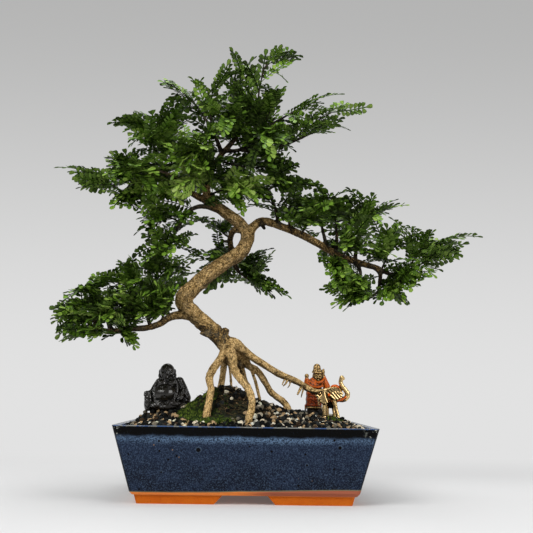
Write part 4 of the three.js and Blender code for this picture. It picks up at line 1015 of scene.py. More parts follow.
def giveBark(bm, bars, plates, grain):
    # raises bark along the run of each branch and notes that run for the colour
    samples = boneSamples(bars)
    tree = treeOf([sample[0] for sample in samples])
    run = bm.verts.layers.float_vector.new("run")
    tone = bm.verts.layers.float.new("tone")
    lower = bm.verts.layers.float.new("lower")
    bm.normal_update()
    for vert in bm.verts:
        near = tree.find_n(vert.co, 3)
        place, direction, radius, along, _ = samples[near[0][1]]
        away = vert.co - place
        away -= direction * away.dot(direction)
        if away.length > 0.01:
            away = away.normalized() * radius
        spot = away + boneAxis * along * 0.28
        vert[run] = spot + boneAxis * (along * 0.02)
        vert[tone] = sum(samples[index][4] for _, index, _ in near) / 3
        # how far the bark faces downwards, for the painted shade on its underside
        vert[lower] = max(-vert.normal.z - 0.15, 0)
        size = min(radius / 7, 1.15)
        wrinkle = noise.fractal(spot * 0.6, 0.6, 2.2, 4) - 0.5 * max(noise.noise(vert.co * 0.55) - 0.15, 0)
        lump = noise.noise(vert.co * 0.09) * 0.55
        plate = abs(noise.noise(spot * 0.34 + Vector((7, 3, 5)))) - 0.2
        vert.co += vert.normal * size * (plates * (lump + plate) + grain * wrinkle)


def barkMaterial():
    material, tree, shader, place = newMaterial("bark", 0.8)
    run = attributeOf(tree, "run", "Vector")
    tone = attributeOf(tree, "tone")
    patches = noiseOf(tree, run, 0.34, 4, 0.6)
    mottle = noiseOf(tree, place, 210, 5, 0.75)
    streaks = noiseOf(tree, run, 1.1, 4, 0.7)
    flakes = noiseOf(tree, place, 620, 4, 0.75)
    lightness = tone
    for texture, amount in ((patches, 0.5), (mottle, 1.5), (flakes, 2.1), (streaks, 1.1)):
        lightness = swayed(tree, lightness, texture, amount)
    color = rampOf(tree, lightness,
                   [(0.0, (0.008, 0.006, 0.003)), (0.25, (0.032, 0.021, 0.008)),
                    (0.47, (0.140, 0.084, 0.027)), (0.70, (0.370, 0.230, 0.076)),
                    (1.0, (0.760, 0.520, 0.235))])
    grey = times(tree, rangeOf(tree, noiseOf(tree, place, 95, 4, 0.65), 0.50, 0.62, 0.0, 0.6),
                 rangeOf(tree, tone, 0.9, 0.5))
    color = blend(tree, grey, color, (0.105, 0.092, 0.062))
    cracks = times(tree, rangeOf(tree, streaks, 0.47, 0.37, 0.0, 0.9),
                   rangeOf(tree, patches, 0.30, 0.62, 0.3, 1.0))
    color = blend(tree, cracks, color, (0.016, 0.010, 0.006))
    pits = rangeOf(tree, mottle, 0.41, 0.33, 0.0, 0.85)
    color = blend(tree, pits, color, (0.020, 0.012, 0.006))
    axes = axesOf(tree, place)
    # painted shade: bark that faces downwards is darkened, most strongly on the roots near the soil
    paintedUnderShade = rangeOf(tree, axes["Z"], potHigh[2] + 0.035, potHigh[2] + 0.055, 0.92, 0.5)
    paintedUnderShade = times(tree, paintedUnderShade, rangeOf(tree, attributeOf(tree, "lower"), 0.05, 0.55))
    color = blend(tree, paintedUnderShade, color, (0.010, 0.007, 0.004))
    tree.links.new(color, shader.inputs["Base Color"])
    shader.inputs["Specular IOR Level"].default_value = 0.2
    relief = plus(tree, times(tree, streaks, 0.8), times(tree, flakes, 0.6))
    relief = plus(tree, relief, times(tree, mottle, 2.2))
    bumpOf(tree, shader, relief, 0.9, 0.0014)
    return material


barkFinish = barkMaterial()


def makeTrunk():
    bars = {name: barPoints(points) for name, points in woodBars.items()}
    thick = {name: points for name, points in bars.items()
             if max(radius for _, radius in points) > woodLook["skinFrom"]}
    bm = bmesh.new()
    bm.from_mesh(tubeMesh(thick.values(), 5))
    bm = remeshed(bm, woodLook["voxel"], woodLook["smoothing"])
    giveBark(bm, thick, *woodLook["thickBark"])
    addPiece("barkedTrunk", meshOf(bm, "barkedTrunk", 70), barkFinish, ["trunk"])
    thin = {name: points for name, points in bars.items() if name not in thick}
    for name, (twig, _) in everySpray.items():
        end = len(twig) - 1
        thin[name] = [(seen(*point), woodLook["twigFoot"] - woodLook["twigLoss"] * index / end)
                      for index, point in enumerate(twig)]
    bm = bmesh.new()
    bm.from_mesh(tubeMesh(thin.values(), 3))
    bmesh.ops.remove_doubles(bm, verts=bm.verts, dist=0.001)
    giveBark(bm, thin, *woodLook["thinBark"])
    addPiece("thinTwigs", meshOf(bm, "thinTwigs", 60), barkFinish)


makeTrunk()

# Leaves: each is a winged rib with pairs of blunt leaflets and one at the tip.
leafLook = {"leaflet": 7.7, "leafletWidth": 5.9, "spacing": 4.9, "stalk": 7.0, "wing": 1.3,
            "pairs": (4, 5, 7, 8), "shapesEach": 5, "youngTint": 0.38, "arch": 0.36, "cup": 0.2,
            "depthLimit": 98, "seed": 23,
            "marks": ((1, 0), (0.85, 5), (0.85, -5), (0.6, 7), (0.6, -7), (0.35, 7), (0.35, -7))}
foliageLook = {"fill": 17, "airyFill": 6, "length": (34, 56), "stray": 0.42, "tries": 9, "faceOn": 0.15,
               "reach": 8.0, "between": 0.5,
               "airy": ("crown_spire", "crown_spire_right", "crown_left_top", "crown_left_shoulder",
                        "crown_top_right", "right_crown_mid", "right_crown_far", "right_crown_edge",
                        "upper_left_top"), "young": ("crown_low_front", "crown_low_right", "left_shoulder"),
               "bareWood": {"trunk": 13, "leader": 4, "right_branch": 10, "low_branch": 6},
               "spurs": {"leader": 26, "left_branch": 12, "left_riser": 10, "crown_left_twig": 9,
                         "crown_right_twig": 9, "upper_right_twig": 8, "shoulder_twig": 4,
                         "left_drooper": 7, "right_twig_1": 7, "right_twig_2": 6, "right_twig_3": 6,
                         "right_twig_4": 6, "right_twig_5": 6, "low_twig_1": 5, "low_twig_2": 5,
                         "low_twig_3": 6, "low_twig_4": 6, "back_branch": 4, "right_down_twig": 3,
                         "hanging_branch": 3}}
foliagePieces = {"crownFoliage": ("crown",), "leftFoliage": ("upper_left", "left", "leader"),
                 "lowFoliage": ("low",), "rightFoliage": ("right", "hanging", "upper_right", "shoulder"),
                 "backFoliage": ("back",)}


def leafletShape():
    length, width = leafLook["leaflet"], leafLook["leafletWidth"]
    bm = bmesh.new()
    rib = bm.verts.layers.float.new("rib")
    under = bm.faces.layers.float.new("under")
    bm.faces.layers.float.new("shade")
    bmesh.ops.create_circle(bm, cap_ends=True, segments=8, radius=1)
    for vert in bm.verts:
        tipward, side = vert.co.y, vert.co.x  # the circle has a corner at its top and its bottom
        share = (1 + tipward) / 2
        onRib = abs(side) < 0.01
        along = length * share ** 0.8 * (0.93 if onRib else 1)
        across = side * width / 2 * (0.55 + 0.45 * share) * 1.06
        vert.co = Vector((along, across, 0.11 * abs(across) - 0.012 * along * along / length * 3))
        vert[rib] = 1.0 if onRib else 0.0
    bmesh.ops.poke(bm, faces=bm.faces[:])
    middle = min(bm.verts, key=lambda vert: (vert.co.xy - Vector((length * 0.55, 0))).length)
    middle.co = Vector((length * 0.56, 0, -0.10))
    middle[rib] = 1.0
    lower = bmesh.ops.duplicate(bm, geom=bm.verts[:] + bm.edges[:] + bm.faces[:])["geom"]
    lowerFaces = [item for item in lower if isinstance(item, bmesh.types.BMFace)]
    for face in lowerFaces:
        face[under] = 1.0
        for vert in face.verts:
            if (vert.co - middle.co).length < 0.001:
                vert.co.z -= 0.42
    bmesh.ops.reverse_faces(bm, faces=lowerFaces)
    bmesh.ops.remove_doubles(bm, verts=bm.verts, dist=0.001)
    bmesh.ops.recalc_face_normals(bm, faces=bm.faces)
    for face in bm.faces:
        face[under] = 1.0 if face.normal.z < 0 else 0.0
    return frozen(bm, "leaflet")


def leafShape(leaflet, pairs, rng):
    length = leafLook["stalk"] + leafLook["spacing"] * (pairs - 1) + 3.6 + leafLook["leaflet"]
    bm = bmesh.new()
    rib = bm.verts.layers.float.new("rib")
    bm.faces.layers.float.new("under")
    bm.faces.layers.float.new("tint")
    bm.faces.layers.float.new("shade")
    bmesh.ops.create_grid(bm, x_segments=pairs + 3, y_segments=1, size=0.5)
    bmesh.ops.scale(bm, verts=bm.verts, vec=(length - leafLook["leaflet"] + 1, leafLook["wing"], 1))
    bmesh.ops.translate(bm, verts=bm.verts, vec=((length - leafLook["leaflet"] + 1) / 2, 0, 0.1))
    for vert in bm.verts:
        vert.co.y *= 0.55 if vert.co.x < leafLook["stalk"] * 0.8 else 1
        vert[rib] = 0.55
    bmesh.ops.solidify(bm, geom=bm.faces[:], thickness=0.5)
    for pair in range(pairs):
        share = pair / (pairs - 1)
        size = 0.72 + 0.34 * math.sin(math.pi * (0.12 + 0.68 * share))
        for side in (-1, 1):
            turn = Euler((rng.gauss(0, 0.24), rng.uniform(-0.15, 0.25), side * rng.uniform(0.95, 1.2)))
            along = leafLook["stalk"] + leafLook["spacing"] * pair + rng.uniform(-0.5, 0.5)
            spot = Matrix.Translation((along, side * 0.35, 0.1)) @ turn.to_matrix().to_4x4()
            addShape(bm, leaflet, spot @ Matrix.Scale(size * rng.uniform(0.93, 1.07), 4), "shade",
                     rng.random())
    tipSpot = Matrix.Translation((length - leafLook["leaflet"] - 0.2, 0, 0.1))
    addShape(bm, leaflet, tipSpot @ Matrix.Scale(1.05, 4), "shade", rng.random())
    sway, twist = rng.uniform(-0.12, 0.12), rng.uniform(-0.5, 0.5)
    for vert in bm.verts:
        share = min(max(vert.co.x / length, 0), 1)
        rise = leafLook["arch"] * length * share * (1 - share)
        vert.co.z += rise + leafLook["cup"] * abs(vert.co.y)
        angle = twist * (share - 0.3)
        y, z = vert.co.y, vert.co.z - rise
        vert.co.y = y * math.cos(angle) - z * math.sin(angle) + sway * length * share * (1 - share) * 2
        vert.co.z += y * math.sin(angle)
    return frozen(bm, "leaf"), length


def leafMaterial():
    material, tree, shader, place = newMaterial("leaf", 0.36)
    tint = attributeOf(tree, "tint")
    under = attributeOf(tree, "under")
    rib = attributeOf(tree, "rib")
    patch = noiseOf(tree, place, 160, 3)
    fine = noiseOf(tree, place, 1600, 3, 0.6)
    value = swayed(tree, swayed(tree, tint, patch, 0.25), attributeOf(tree, "shade"), 0.56)
    axes = axesOf(tree, place)
    # painted light: leaves on the right and left sides of the canopy are made lighter
    outer = mathOf(tree, "MAXIMUM", rangeOf(tree, axes["X"], 0.03, 0.07, 0.0, 0.095),
                   rangeOf(tree, axes["X"], -0.06, -0.10, 0.0, 0.065))
    value = plus(tree, value, outer)
    color = rampOf(tree, value,
                   [(0.0, (0.014, 0.031, 0.003)), (0.22, (0.058, 0.124, 0.008)),
                    (0.45, (0.165, 0.310, 0.028)), (0.70, (0.280, 0.430, 0.066)),
                    (1.0, (0.370, 0.480, 0.115))])
    color = blend(tree, rangeOf(tree, fine, 0.35, 0.7, 0.0, 0.35), color, (0.5, 0.5, 0.4), "MULTIPLY")
    color = blend(tree, rangeOf(tree, rib, 0.80, 0.98, 0.0, 0.45), color, (0.13, 0.19, 0.05))
    color = blend(tree, times(tree, under, 0.38), color, (0.090, 0.120, 0.038))
    # painted shade: a dark edge round each leaflet, away from its rib
    color = blend(tree, rangeOf(tree, rib, 0.36, 0.05, 0.0, 0.85), color, (0.16, 0.24, 0.16), "MULTIPLY")
    tree.links.new(color, shader.inputs["Base Color"])
    tree.links.new(rangeOf(tree, under, 0, 1, 0.34, 0.6), shader.inputs["Roughness"])
    shader.inputs["Specular IOR Level"].default_value = 0.14
    bumpOf(tree, shader, plus(tree, fine, times(tree, rib, -0.8)), 0.35, 0.0003)
    through = tree.nodes.new("ShaderNodeBsdfTranslucent")
    tree.links.new(blend(tree, 0.5, color, (0.13, 0.22, 0.012)), through.inputs["Color"])
    mixer = tree.nodes.new("ShaderNodeMixShader")
    mixer.inputs["Fac"].default_value = 0.21
    tree.links.new(shader.outputs["BSDF"], mixer.inputs[1])
    tree.links.new(through.outputs["BSDF"], mixer.inputs[2])
    tree.links.new(mixer.outputs["Shader"], tree.nodes["Material Output"].inputs["Surface"])
    return material


def pointAlong(places, share):
    reach = share * (len(places) - 1)
    start = min(int(reach), len(places) - 2)
    return places[start].lerp(places[start + 1], reach - start)


def leafTurn(base, tip, roll):
    along = (tip - base).normalized()
    level = Vector((0, 0, 1)).cross(along)
    if level.length < 0.2:
        level = Vector((-0.6, 0.8, 0))
    across = Matrix.Rotation(roll, 3, along) @ level.normalized()
    turn = Matrix((along, across, along.cross(across))).transposed().to_4x4()
    return Matrix.Translation(base) @ turn


def onPicture(place):
    # where a spot lies on the pot's middle plane when looked at from the eye
    spread = 1 - place.y / eye.y
    return Vector((eye.x + (place.x - eye.x) / spread, 0, eye.z + (place.z - eye.z) / spread))


def canopyLines():
    # the runs that leaves follow: along each twig, out to each tip, and part of the way between tips
    for spray in everySpray.values():
        twig, tips = ([Vector((x, 0, z)) for x, z, _ in points] for points in spray)
        between = [twig[-1].lerp(first.lerp(second, share), foliageLook["between"])
                   for first, second in zip(tips, tips[1:] + tips[:1]) for share in (0.25, 0.5, 0.75)]
        yield from zip(twig, twig[1:])
        for end in tips + between:
            yield min(twig, key=lambda start: abs((start - end).length - 50)), end


def canopyTree():
    spots = []
    for start, end in canopyLines():
        steps = int((end - start).length / 2) + 1
        spots += [start.lerp(end, step / steps) for step in range(steps + 1)]
    return treeOf(spots)


canopy = canopyTree()


def insideCanopy(place):
    return canopy.find(onPicture(place))[2] < foliageLook["reach"]


def overBareWood(place):
    # whether a leaf this far forward would hide wood that shows bare
    spot = onPicture(place).xz
    for name, count in foliageLook["bareWood"].items():
        points = woodBars[name][:count]
        for (startX, startZ, depth, radius), (endX, endZ, _, _) in zip(points, points[1:]):
            start, run = Vector((startX, startZ)), Vector((endX - startX, endZ - startZ))
            share = min(max((spot - start).dot(run) / run.length_squared, 0), 1)
            if (spot - start - run * share).length < radius and place.y < depth:
                return True
    return False


def placeLeaf(bm, shapes, rng, base, tip, tint, rollRange=0.45, free=False):
    tip = tip.copy()
    tip.y = min(max(tip.y, -leafLook["depthLimit"]), leafLook["depthLimit"])
    span = min(max((tip - base).length, 30), 60)
    shape, length = rng.choice(min(shapes, key=lambda group: abs(group[0][1] - span)))
    roll = rng.gauss(0, 1.2 if rng.random() < foliageLook["faceOn"] else rollRange)
    matrix = leafTurn(base, tip, roll) @ Matrix.Scale(span / length, 4)
    spots = [matrix @ Vector((length * share, side, length * leafLook["arch"] * share * (1 - share)))
             for share, side in leafLook["marks"]]
    if any(overBareWood(spot) for spot in spots[:5]):
        return False
    if not free and sum(not insideCanopy(spot) for spot in spots) > 1:
        return False
    addShape(bm, shape, matrix, "tint", tint)
    return True


def sprayLeaves(bm, shapes, rng, name, spray):
    places, tips = ([seen(*point) for point in points] for points in spray)
    young = leafLook["youngTint"] if name in foliageLook["young"] else 0.0
    for tip in tips:
        bases = [pointAlong(places, step / 20) for step in range(6, 21)]
        base = min(bases, key=lambda place: abs((place - tip).length - 50))
        placeLeaf(bm, shapes, rng, base, tip, rng.uniform(0.25, 0.62) + young, 0.3, free=True)
    aims = tips + [places[-1] + (places[-1] - places[0]).normalized() * 45]
    count = foliageLook["airyFill"] if name in foliageLook["airy"] else foliageLook["fill"]
    for index in range(count):
        share = 0.12 + 0.88 * (index + rng.random()) / count
        base = pointAlong(places, share)
        for attempt in range(foliageLook["tries"]):
            first, second = rng.choice(aims), rng.choice(aims)
            heading = (first.lerp(second, rng.random()) - base).normalized()
            stray = Vector((rng.gauss(0, 1), rng.gauss(0, 1), rng.gauss(0, 0.75)))
            stray *= foliageLook["stray"] * (1 + 0.15 * attempt)
            length = rng.uniform(*foliageLook["length"]) * (0.8 + 0.2 * share)
            tip = base + (heading + stray).normalized() * length
            if placeLeaf(bm, shapes, rng, base, tip, rng.betavariate(2, 3) * 0.75 + young):
                break


def spurLeaves(bm, shapes, rng, name, count):
    places = [place for place, _ in barPoints(woodBars[name])]
    if name == "leader":
        places = places[4:]
    for index in range(count):
        base = pointAlong(places, 0.15 + 0.85 * (index + rng.random()) / count)
        around = rng.uniform(0, 6.28)
        heading = Vector((math.cos(around), math.sin(around), rng.uniform(-0.35, 0.7)))
        for _ in range(3):
            stray = Vector((rng.gauss(0, 0.4), rng.gauss(0, 0.4), rng.gauss(0, 0.3)))
            tip = base + (heading + stray).normalized() * rng.uniform(34, 50)
            placeLeaf(bm, shapes, rng, base, tip, rng.betavariate(2, 3.5) * 0.6)


def makeFoliage():
    rng = random.Random(leafLook["seed"])
    leaflet = leafletShape()
    shapes = [[leafShape(leaflet, pairs, rng) for _ in range(leafLook["shapesEach"])]
              for pairs in leafLook["pairs"]]
    finish = leafMaterial()
    for piece, starts in foliagePieces.items():
        bm = bmesh.new()
        nodes = []
        for name, spray in everySpray.items():
            if name.startswith(starts):
                sprayLeaves(bm, shapes, rng, name, spray)
                nodes += ["spray_" + name] if name in sprays else []
        for name, count in foliageLook["spurs"].items():
            if name.startswith(starts):
                spurLeaves(bm, shapes, rng, name, count)
        addPiece(piece, meshOf(bm, piece, 50), finish, nodes)


makeFoliage()

# Figurines: lumps and limbs under one skin, with folds pressed in afterwards and paint noted per point.
# Both chins lie this share of the head's half height below its middle.
figureLook = {"voxel": 0.47, "smoothing": 2, "hollowRounds": 3, "lift": 0.3, "chinDrop": 0.8}


def ballShape(sides):
    bm = bmesh.new()
    bm.verts.layers.float.new("paint")
    bmesh.ops.create_uvsphere(bm, u_segments=sides, v_segments=sides * 2 // 3, radius=1)
    return frozen(bm, "ball")


balls = {sides: ballShape(sides) for sides in (12, 20)}


def lump(bm, place, size, paint=0.0, sides=20):
    addShape(bm, balls[sides], Matrix.Translation(place) @ Matrix.Diagonal((*size, 1)), "paint",
             float(paint))


def limb(bm, points, paint=0.0):
    # a row of overlapping balls, so that the skin runs smoothly along it
    for (*start, startRadius), (*end, endRadius) in zip(points, points[1:]):
        start, end = Vector(start), Vector(end)
        steps = max(int((end - start).length / (0.45 * min(startRadius, endRadius))), 1)
        for step in range(steps + 1):
            share = step / steps
            radius = startRadius + (endRadius - startRadius) * share
            lump(bm, start.lerp(end, share), (radius, radius, radius), paint, sides=12)


def press(bm, strokes, side):
    # raises or carves lines noted as x and z on the front (side -1) or the back (side 1)
    samples = []
    for width, depth, *line in strokes:
        for (startX, startZ), (endX, endZ) in zip(line, line[1:]):
            steps = max(int(math.dist((startX, startZ), (endX, endZ)) / 0.25), 1)
            for step in range(steps + 1):
                share = step / steps
                spot = Vector((startX + (endX - startX) * share, 0, startZ + (endZ - startZ) * share))
                samples.append((spot, width, depth))
    tree = treeOf([sample[0] for sample in samples])
    bm.normal_update()
    moves = []
    for vert in bm.verts:
        facing = vert.normal.y * side
        if facing > 0.1:
            _, index, distance = tree.find((vert.co.x, 0, vert.co.z))
            _, width, depth = samples[index]
            if distance < width:
                fall = (1 - (distance / width) ** 2) ** 2 * min((facing - 0.1) * 3, 1)
                moves.append((vert, vert.normal * depth * fall))
    for vert, move in moves:
        vert.co += move


def paintSkin(bm, sources, bands):
    # each point of the skin takes the paint of the nearest shape, or of the band of heights that it lies in
    coat = bm.verts.layers.float.new("paint")
    tree = treeOf([place for place, _ in sources])
    for vert in bm.verts:
        vert[coat] = sources[tree.find(vert.co)[1]][1]
        for low, high, paint in bands:
            if low <= vert.co.z < high:
                vert[coat] = paint


def noteHollows(bm, hollowAndShade):
    # how far each point is sunk between its neighbours, which darkens it, plus painted shade on sides that
    # face left or right and on undersides
    for vert in bm.verts:
        ring = [edge.other_vert(vert).co for edge in vert.link_edges]
        middleOfRing = sum(ring, Vector()) / len(ring)
        vert[hollowAndShade] = (middleOfRing - vert.co).dot(vert.normal)
        # painted shade: points facing left or right and points facing down count as sunk, so they darken
        # too
        vert[hollowAndShade] += 0.016 * max(abs(vert.normal.x) - 0.72, 0) / 0.28 + 0.010 * max(-vert.normal.z, 0)
    for _ in range(figureLook["hollowRounds"]):
        means = [sum(edge.other_vert(vert)[hollowAndShade] for edge in vert.link_edges) / len(vert.link_edges)
                 for vert in bm.verts]
        for vert, mean in zip(bm.verts, means):
            vert[hollowAndShade] = vert[hollowAndShade] * 0.4 + mean * 0.6


def makeFigure(name, seat, look):
    bm = bmesh.new()
    bm.verts.layers.float.new("paint")
    for place, size, *paint in look["lumps"]:
        lump(bm, place, size, *paint)
    for points, *paint in look["limbs"]:
        limb(bm, points, *paint)
    sources = [(vert.co.copy(), vert[bm.verts.layers.float["paint"]]) for vert in bm.verts]
    bm = remeshed(bm, figureLook["voxel"], figureLook["smoothing"])
    paintSkin(bm, sources, look.get("bands", ()))
    hollowAndShade = bm.verts.layers.float.new("hollowAndShade")
    press(bm, look["front"], -1)
    press(bm, look["back"], 1)
    cut = bmesh.ops.bisect_plane(bm, geom=bm.verts[:] + bm.edges[:] + bm.faces[:], plane_co=(0, 0, 0.02),
                                 plane_no=(0, 0, -1), clear_outer=True)
    bmesh.ops.holes_fill(bm, edges=[item for item in cut["geom_cut"]
                                    if isinstance(item, bmesh.types.BMEdge)])
    bm.normal_update()
    noteHollows(bm, hollowAndShade)
    x, y, _, _, z = seats[seat]
    bmesh.ops.translate(bm, verts=bm.verts, vec=(x, y, z + figureLook["lift"]))
    material = figureMaterial(*look["finish"])
    addPiece(name, meshOf(bm, name, 80), material, [seat + "_figurine"])


def figureMaterial(name, coats, hollowAndShadeTone, roughness, gloss=0.16):
    # coats: colour and metal of each paint number, beginning with 0
    material, tree, shader, place = newMaterial(name, roughness)
    paint = attributeOf(tree, "paint")
    hollowAndShade = attributeOf(tree, "hollowAndShade")
    wear = noiseOf(tree, place, 500, 4, 0.65)
    faded = rangeOf(tree, wear, 0.35, 0.7)
    layers = [blend(tree, faded, color, tuple(part * 0.55 for part in color)) for color, _ in coats]
    tone, shine = layers[0], coats[0][1]
    for number, (layer, (_, metal)) in enumerate(zip(layers[1:], coats[1:])):
        here = rangeOf(tree, paint, number + 0.42, number + 0.58)
        tone = blend(tree, here, tone, layer)
        shine = plus(tree, times(tree, here, minus(tree, metal, shine)), shine)
    # darkened where sunk between neighbours, and with painted shade on sides and undersides
    worn = swayed(tree, hollowAndShade, wear, 0.02)
    tone = blend(tree, rangeOf(tree, worn, -0.004, 0.018, 0.0, 0.95), tone, hollowAndShadeTone)
    tree.links.new(tone, shader.inputs["Base Color"])
    if isinstance(shine, (int, float)):
        shader.inputs["Metallic"].default_value = shine
    else:
        tree.links.new(shine, shader.inputs["Metallic"])
    shader.inputs["Specular IOR Level"].default_value = gloss
    bumpOf(tree, shader, wear, 0.25, 0.0003)
    return material


# Folds on the back of a robe. Every stroke has its half width, its height and its line in x and z.
robeBackStrokes = [(1.1, -0.6, (-12, 33), (-6, 24), (-4, 12), (-5, 3)),
                   (1.1, -0.6, (12, 33), (7, 24), (6, 12), (8, 3)), (1.1, -0.6, (0, 34), (1, 22), (0, 8)),
                   (1.1, -0.55, (-16, 28), (-14, 16), (-15, 4)), (1.1, -0.55, (18, 26), (15, 15), (16, 4)),
                   (1.0, -0.5, (-8, 35.4), (0, 33.6), (7, 35.6))]

# A seated, round-bellied figure in an open robe, one hand on a sack and the other on its knee.
buddhaLook = {
    "finish": ("darkBronze", [((0.021, 0.018, 0.013), 0.2)], (0.0028, 0.0024, 0.002), 0.2, 0.75),
    "lumps": [((0.5, 0.5, 6.5), (23.5, 15, 9.5)), ((-1.5, -5.0, 19.0), (14.6, 11.6, 11.8)),
              ((1, 2, 27), (16.3, 10.2, 12.8)), ((-0.8, -1, 44.2), (8.4, 8.0, 9.0)),
              ((-0.9, -3.4, 39.6), (6.8, 5.4, 4.6)), ((-0.8, 0, 36.4), (7.4, 6.4, 5)),
              ((-6.0, -6.4, 30.6), (5.6, 3.6, 4.4)), ((5.4, -6.4, 31.0), (5.6, 3.6, 4.4)),
              ((-9.3, 0.2, 43.2), (1.3, 1.9, 3.3)), ((-9.6, 0.0, 39.4), (1.4, 1.5, 2.7)),
              ((7.8, 0.2, 43.6), (1.3, 1.9, 3.3)), ((8.3, 0.0, 39.8), (1.4, 1.5, 2.7)),
              ((-4.6, -6.4, 41.2), (2.9, 2.3, 2.5)), ((3.0, -6.4, 41.2), (2.9, 2.3, 2.5)),
              ((-0.8, -8.7, 42.6), (1.0, 1.4, 2.4)), ((-0.8, -9.2, 41.5), (1.35, 1.3, 1.1)),
              ((-1.9, -8.7, 41.3), (0.8, 0.8, 0.7)), ((0.3, -8.7, 41.3), (0.8, 0.8, 0.7)),
              ((-0.8, -8.2, 38.9), (1.8, 0.9, 0.55)),
              ((-0.8, -7.7, 44.2 - 9.0 * figureLook["chinDrop"]), (2.0, 1.5, 1.3)),
              ((-4.0, -7.7, 44.6), (1.7, 0.8, 0.9)), ((2.4, -7.7, 44.6), (1.7, 0.8, 0.9)),
              ((-19.2, -3, 8.6), (6.2, 7.6, 11.4)), ((-19.8, -6, 14), (5.2, 4.8, 6)),
              ((8, -11, 7.5), (9.5, 5.5, 5.6)), ((-8, -10.5, 6.5), (9.5, 5.5, 5.2)),
              ((1, -13.6, 4.6), (9, 3.6, 3.6)), ((15.5, -9.5, 17.2), (3.4, 3.4, 3.0))],
    "limbs": [([(-9.2, 0, 31.6, 5.0), (-12.3, -1, 26, 5.2), (-15.6, -3, 20.5, 4.4),
                (-19.5, -4.6, 19.4, 3.2)],),
              ([(13.2, 0, 33.0, 5.4), (17.2, -1, 25, 5.6), (21.2, -1, 15, 5.8), (20, -1, 5, 5.8)],),
              ([(18.6, -3, 23, 4.6), (17.8, -8, 19.5, 4.2), (15.5, -9.5, 17.2, 3.2)],),
              ([(-24.2, -5.2, 20.4, 1.35), (-24.6, -6.4, 17.4, 1.2)],),
              ([(-22.2, -6.6, 21.0, 1.4), (-22.6, -8.2, 17.4, 1.2)],),
              ([(-20.1, -7.2, 21.2, 1.4), (-20.4, -9.0, 17.2, 1.2)],),
              ([(-18.1, -7.2, 20.8, 1.35), (-18.3, -9.2, 17.0, 1.2)],),
              ([(15, -12.4, 18.2, 1.2), (12.4, -13.4, 15.6, 1.1)],),
              ([(16.8, -12.6, 17.4, 1.2), (14.6, -14, 14.6, 1.1)],),
              ([(18.2, -11.8, 16.2, 1.2), (16.6, -13.6, 13.4, 1.1)],),
              ([(-10.5, -8.6, 33.6, 1.0), (-13.2, -9, 27, 1.1), (-14.2, -10.5, 20, 1.2),
                (-12, -13, 11.5, 1.2), (-4, -15, 8.6, 1.2)],),
              ([(9.2, -8.2, 34.4, 1.0), (12.0, -8.6, 28, 1.1), (12.4, -10.5, 21, 1.2),
                (9.0, -13.6, 12.6, 1.2), (2, -15.4, 8.8, 1.2)],),
              ([(-10.5, -8.6, 33.6, 1.0), (-8.2, -5.5, 36.6, 1.2), (-0.8, -6.8, 34.8, 1.0),
                (6.8, -5.2, 37, 1.2), (9.2, -8.2, 34.4, 1.0)],)],
    "back": robeBackStrokes,
    "front": [(0.7, -0.42, (-5.9, 44.1), (-4.8, 43.75), (-3.2, 43.75), (-2.3, 44.1)),
              (0.7, -0.42, (0.7, 44.1), (1.6, 43.75), (3.2, 43.75), (4.3, 44.1)),
              (0.8, 0.30, (-6.0, 46.0), (-4.6, 46.9), (-2.6, 46.5)),
              (0.8, 0.30, (1.0, 46.5), (3.0, 46.9), (4.4, 46.0)),
              (0.55, -0.40, (-3.2, 39.1), (-2.0, 38.85), (-0.8, 38.95), (0.4, 38.85), (1.6, 39.1)),
              (0.8, -0.35, (-6.4, 36.6), (-3, 35.4), (1.4, 35.4), (4.8, 36.6)),
              (0.8, -0.4, (-7.4, 34.8), (-3, 33.2), (1.6, 33.2), (6, 34.9)),
              (0.9, -0.5, (-11.4, 28.8), (-8.0, 26.6), (-4.0, 26.4), (-1.6, 27.6)),
              (0.9, -0.5, (0.6, 27.6), (3.6, 26.4), (7.4, 26.8), (10.2, 29)),
              (1.0, -0.6, (-1.6, 17.0), (-1.2, 16.2)),
              (0.8, -0.45, (-9.5, 13.0), (-5, 10.6), (1, 10.4), (6, 12.6)),
              (0.8, -0.55, (-23.4, 20.6), (-23.6, 17.2)), (0.8, -0.55, (-21.2, 21.6), (-21.5, 17.2)),
              (0.8, -0.55, (-19.1, 21.6), (-19.3, 17)), (1.0, -0.6, (-23.5, 7), (-20.5, 3.6), (-17.5, 1.6)),
              (1.0, -0.6, (-19, 8.4), (-16, 9.8), (-14.2, 8)), (0.9, -0.5, (-17.6, 7), (-19.6, 4)),
              (1.0, -0.6, (-23.6, 13), (-19, 12.6), (-15, 14)),
              (0.9, -0.55, (15.4, 31), (18, 26.6), (21.4, 23)), (0.9, -0.55, (13.8, 27.6), (16.6, 23.8)),
              (0.9, -0.5, (17, 20.4), (21, 21.4), (24, 17.4)), (0.9, -0.5, (19.6, 16.4), (23.4, 13)),
              (0.9, -0.55, (18.4, 12.2), (21.6, 8.8)),
              (0.8, -0.5, (12.6, 20.4), (14.6, 21.8), (17.6, 20.8)),
              (0.9, -0.55, (-13.4, 33), (-15.6, 28.6), (-16.8, 24.4)),
              (0.9, -0.5, (-11, 30.4), (-12.6, 26.2), (-13.6, 22)),
              (0.9, -0.6, (-6, 8.4), (-2.6, 5.4), (-0.6, 2.2)),
              (0.9, -0.6, (4.4, 8.8), (8.4, 6), (13.6, 5.4)), (0.9, -0.6, (6.6, 3.4), (10.6, 2.4), (16, 3)),
              (0.9, -0.55, (-14.4, 7.2), (-10.6, 4), (-6, 2.4)),
              (0.9, -0.55, (10.6, 12.4), (13.6, 10), (15, 6.4)), (0.9, -0.5, (-12.4, 11), (-9, 8))],
}
makeFigure("seatedBuddha", "buddha", buddhaLook)

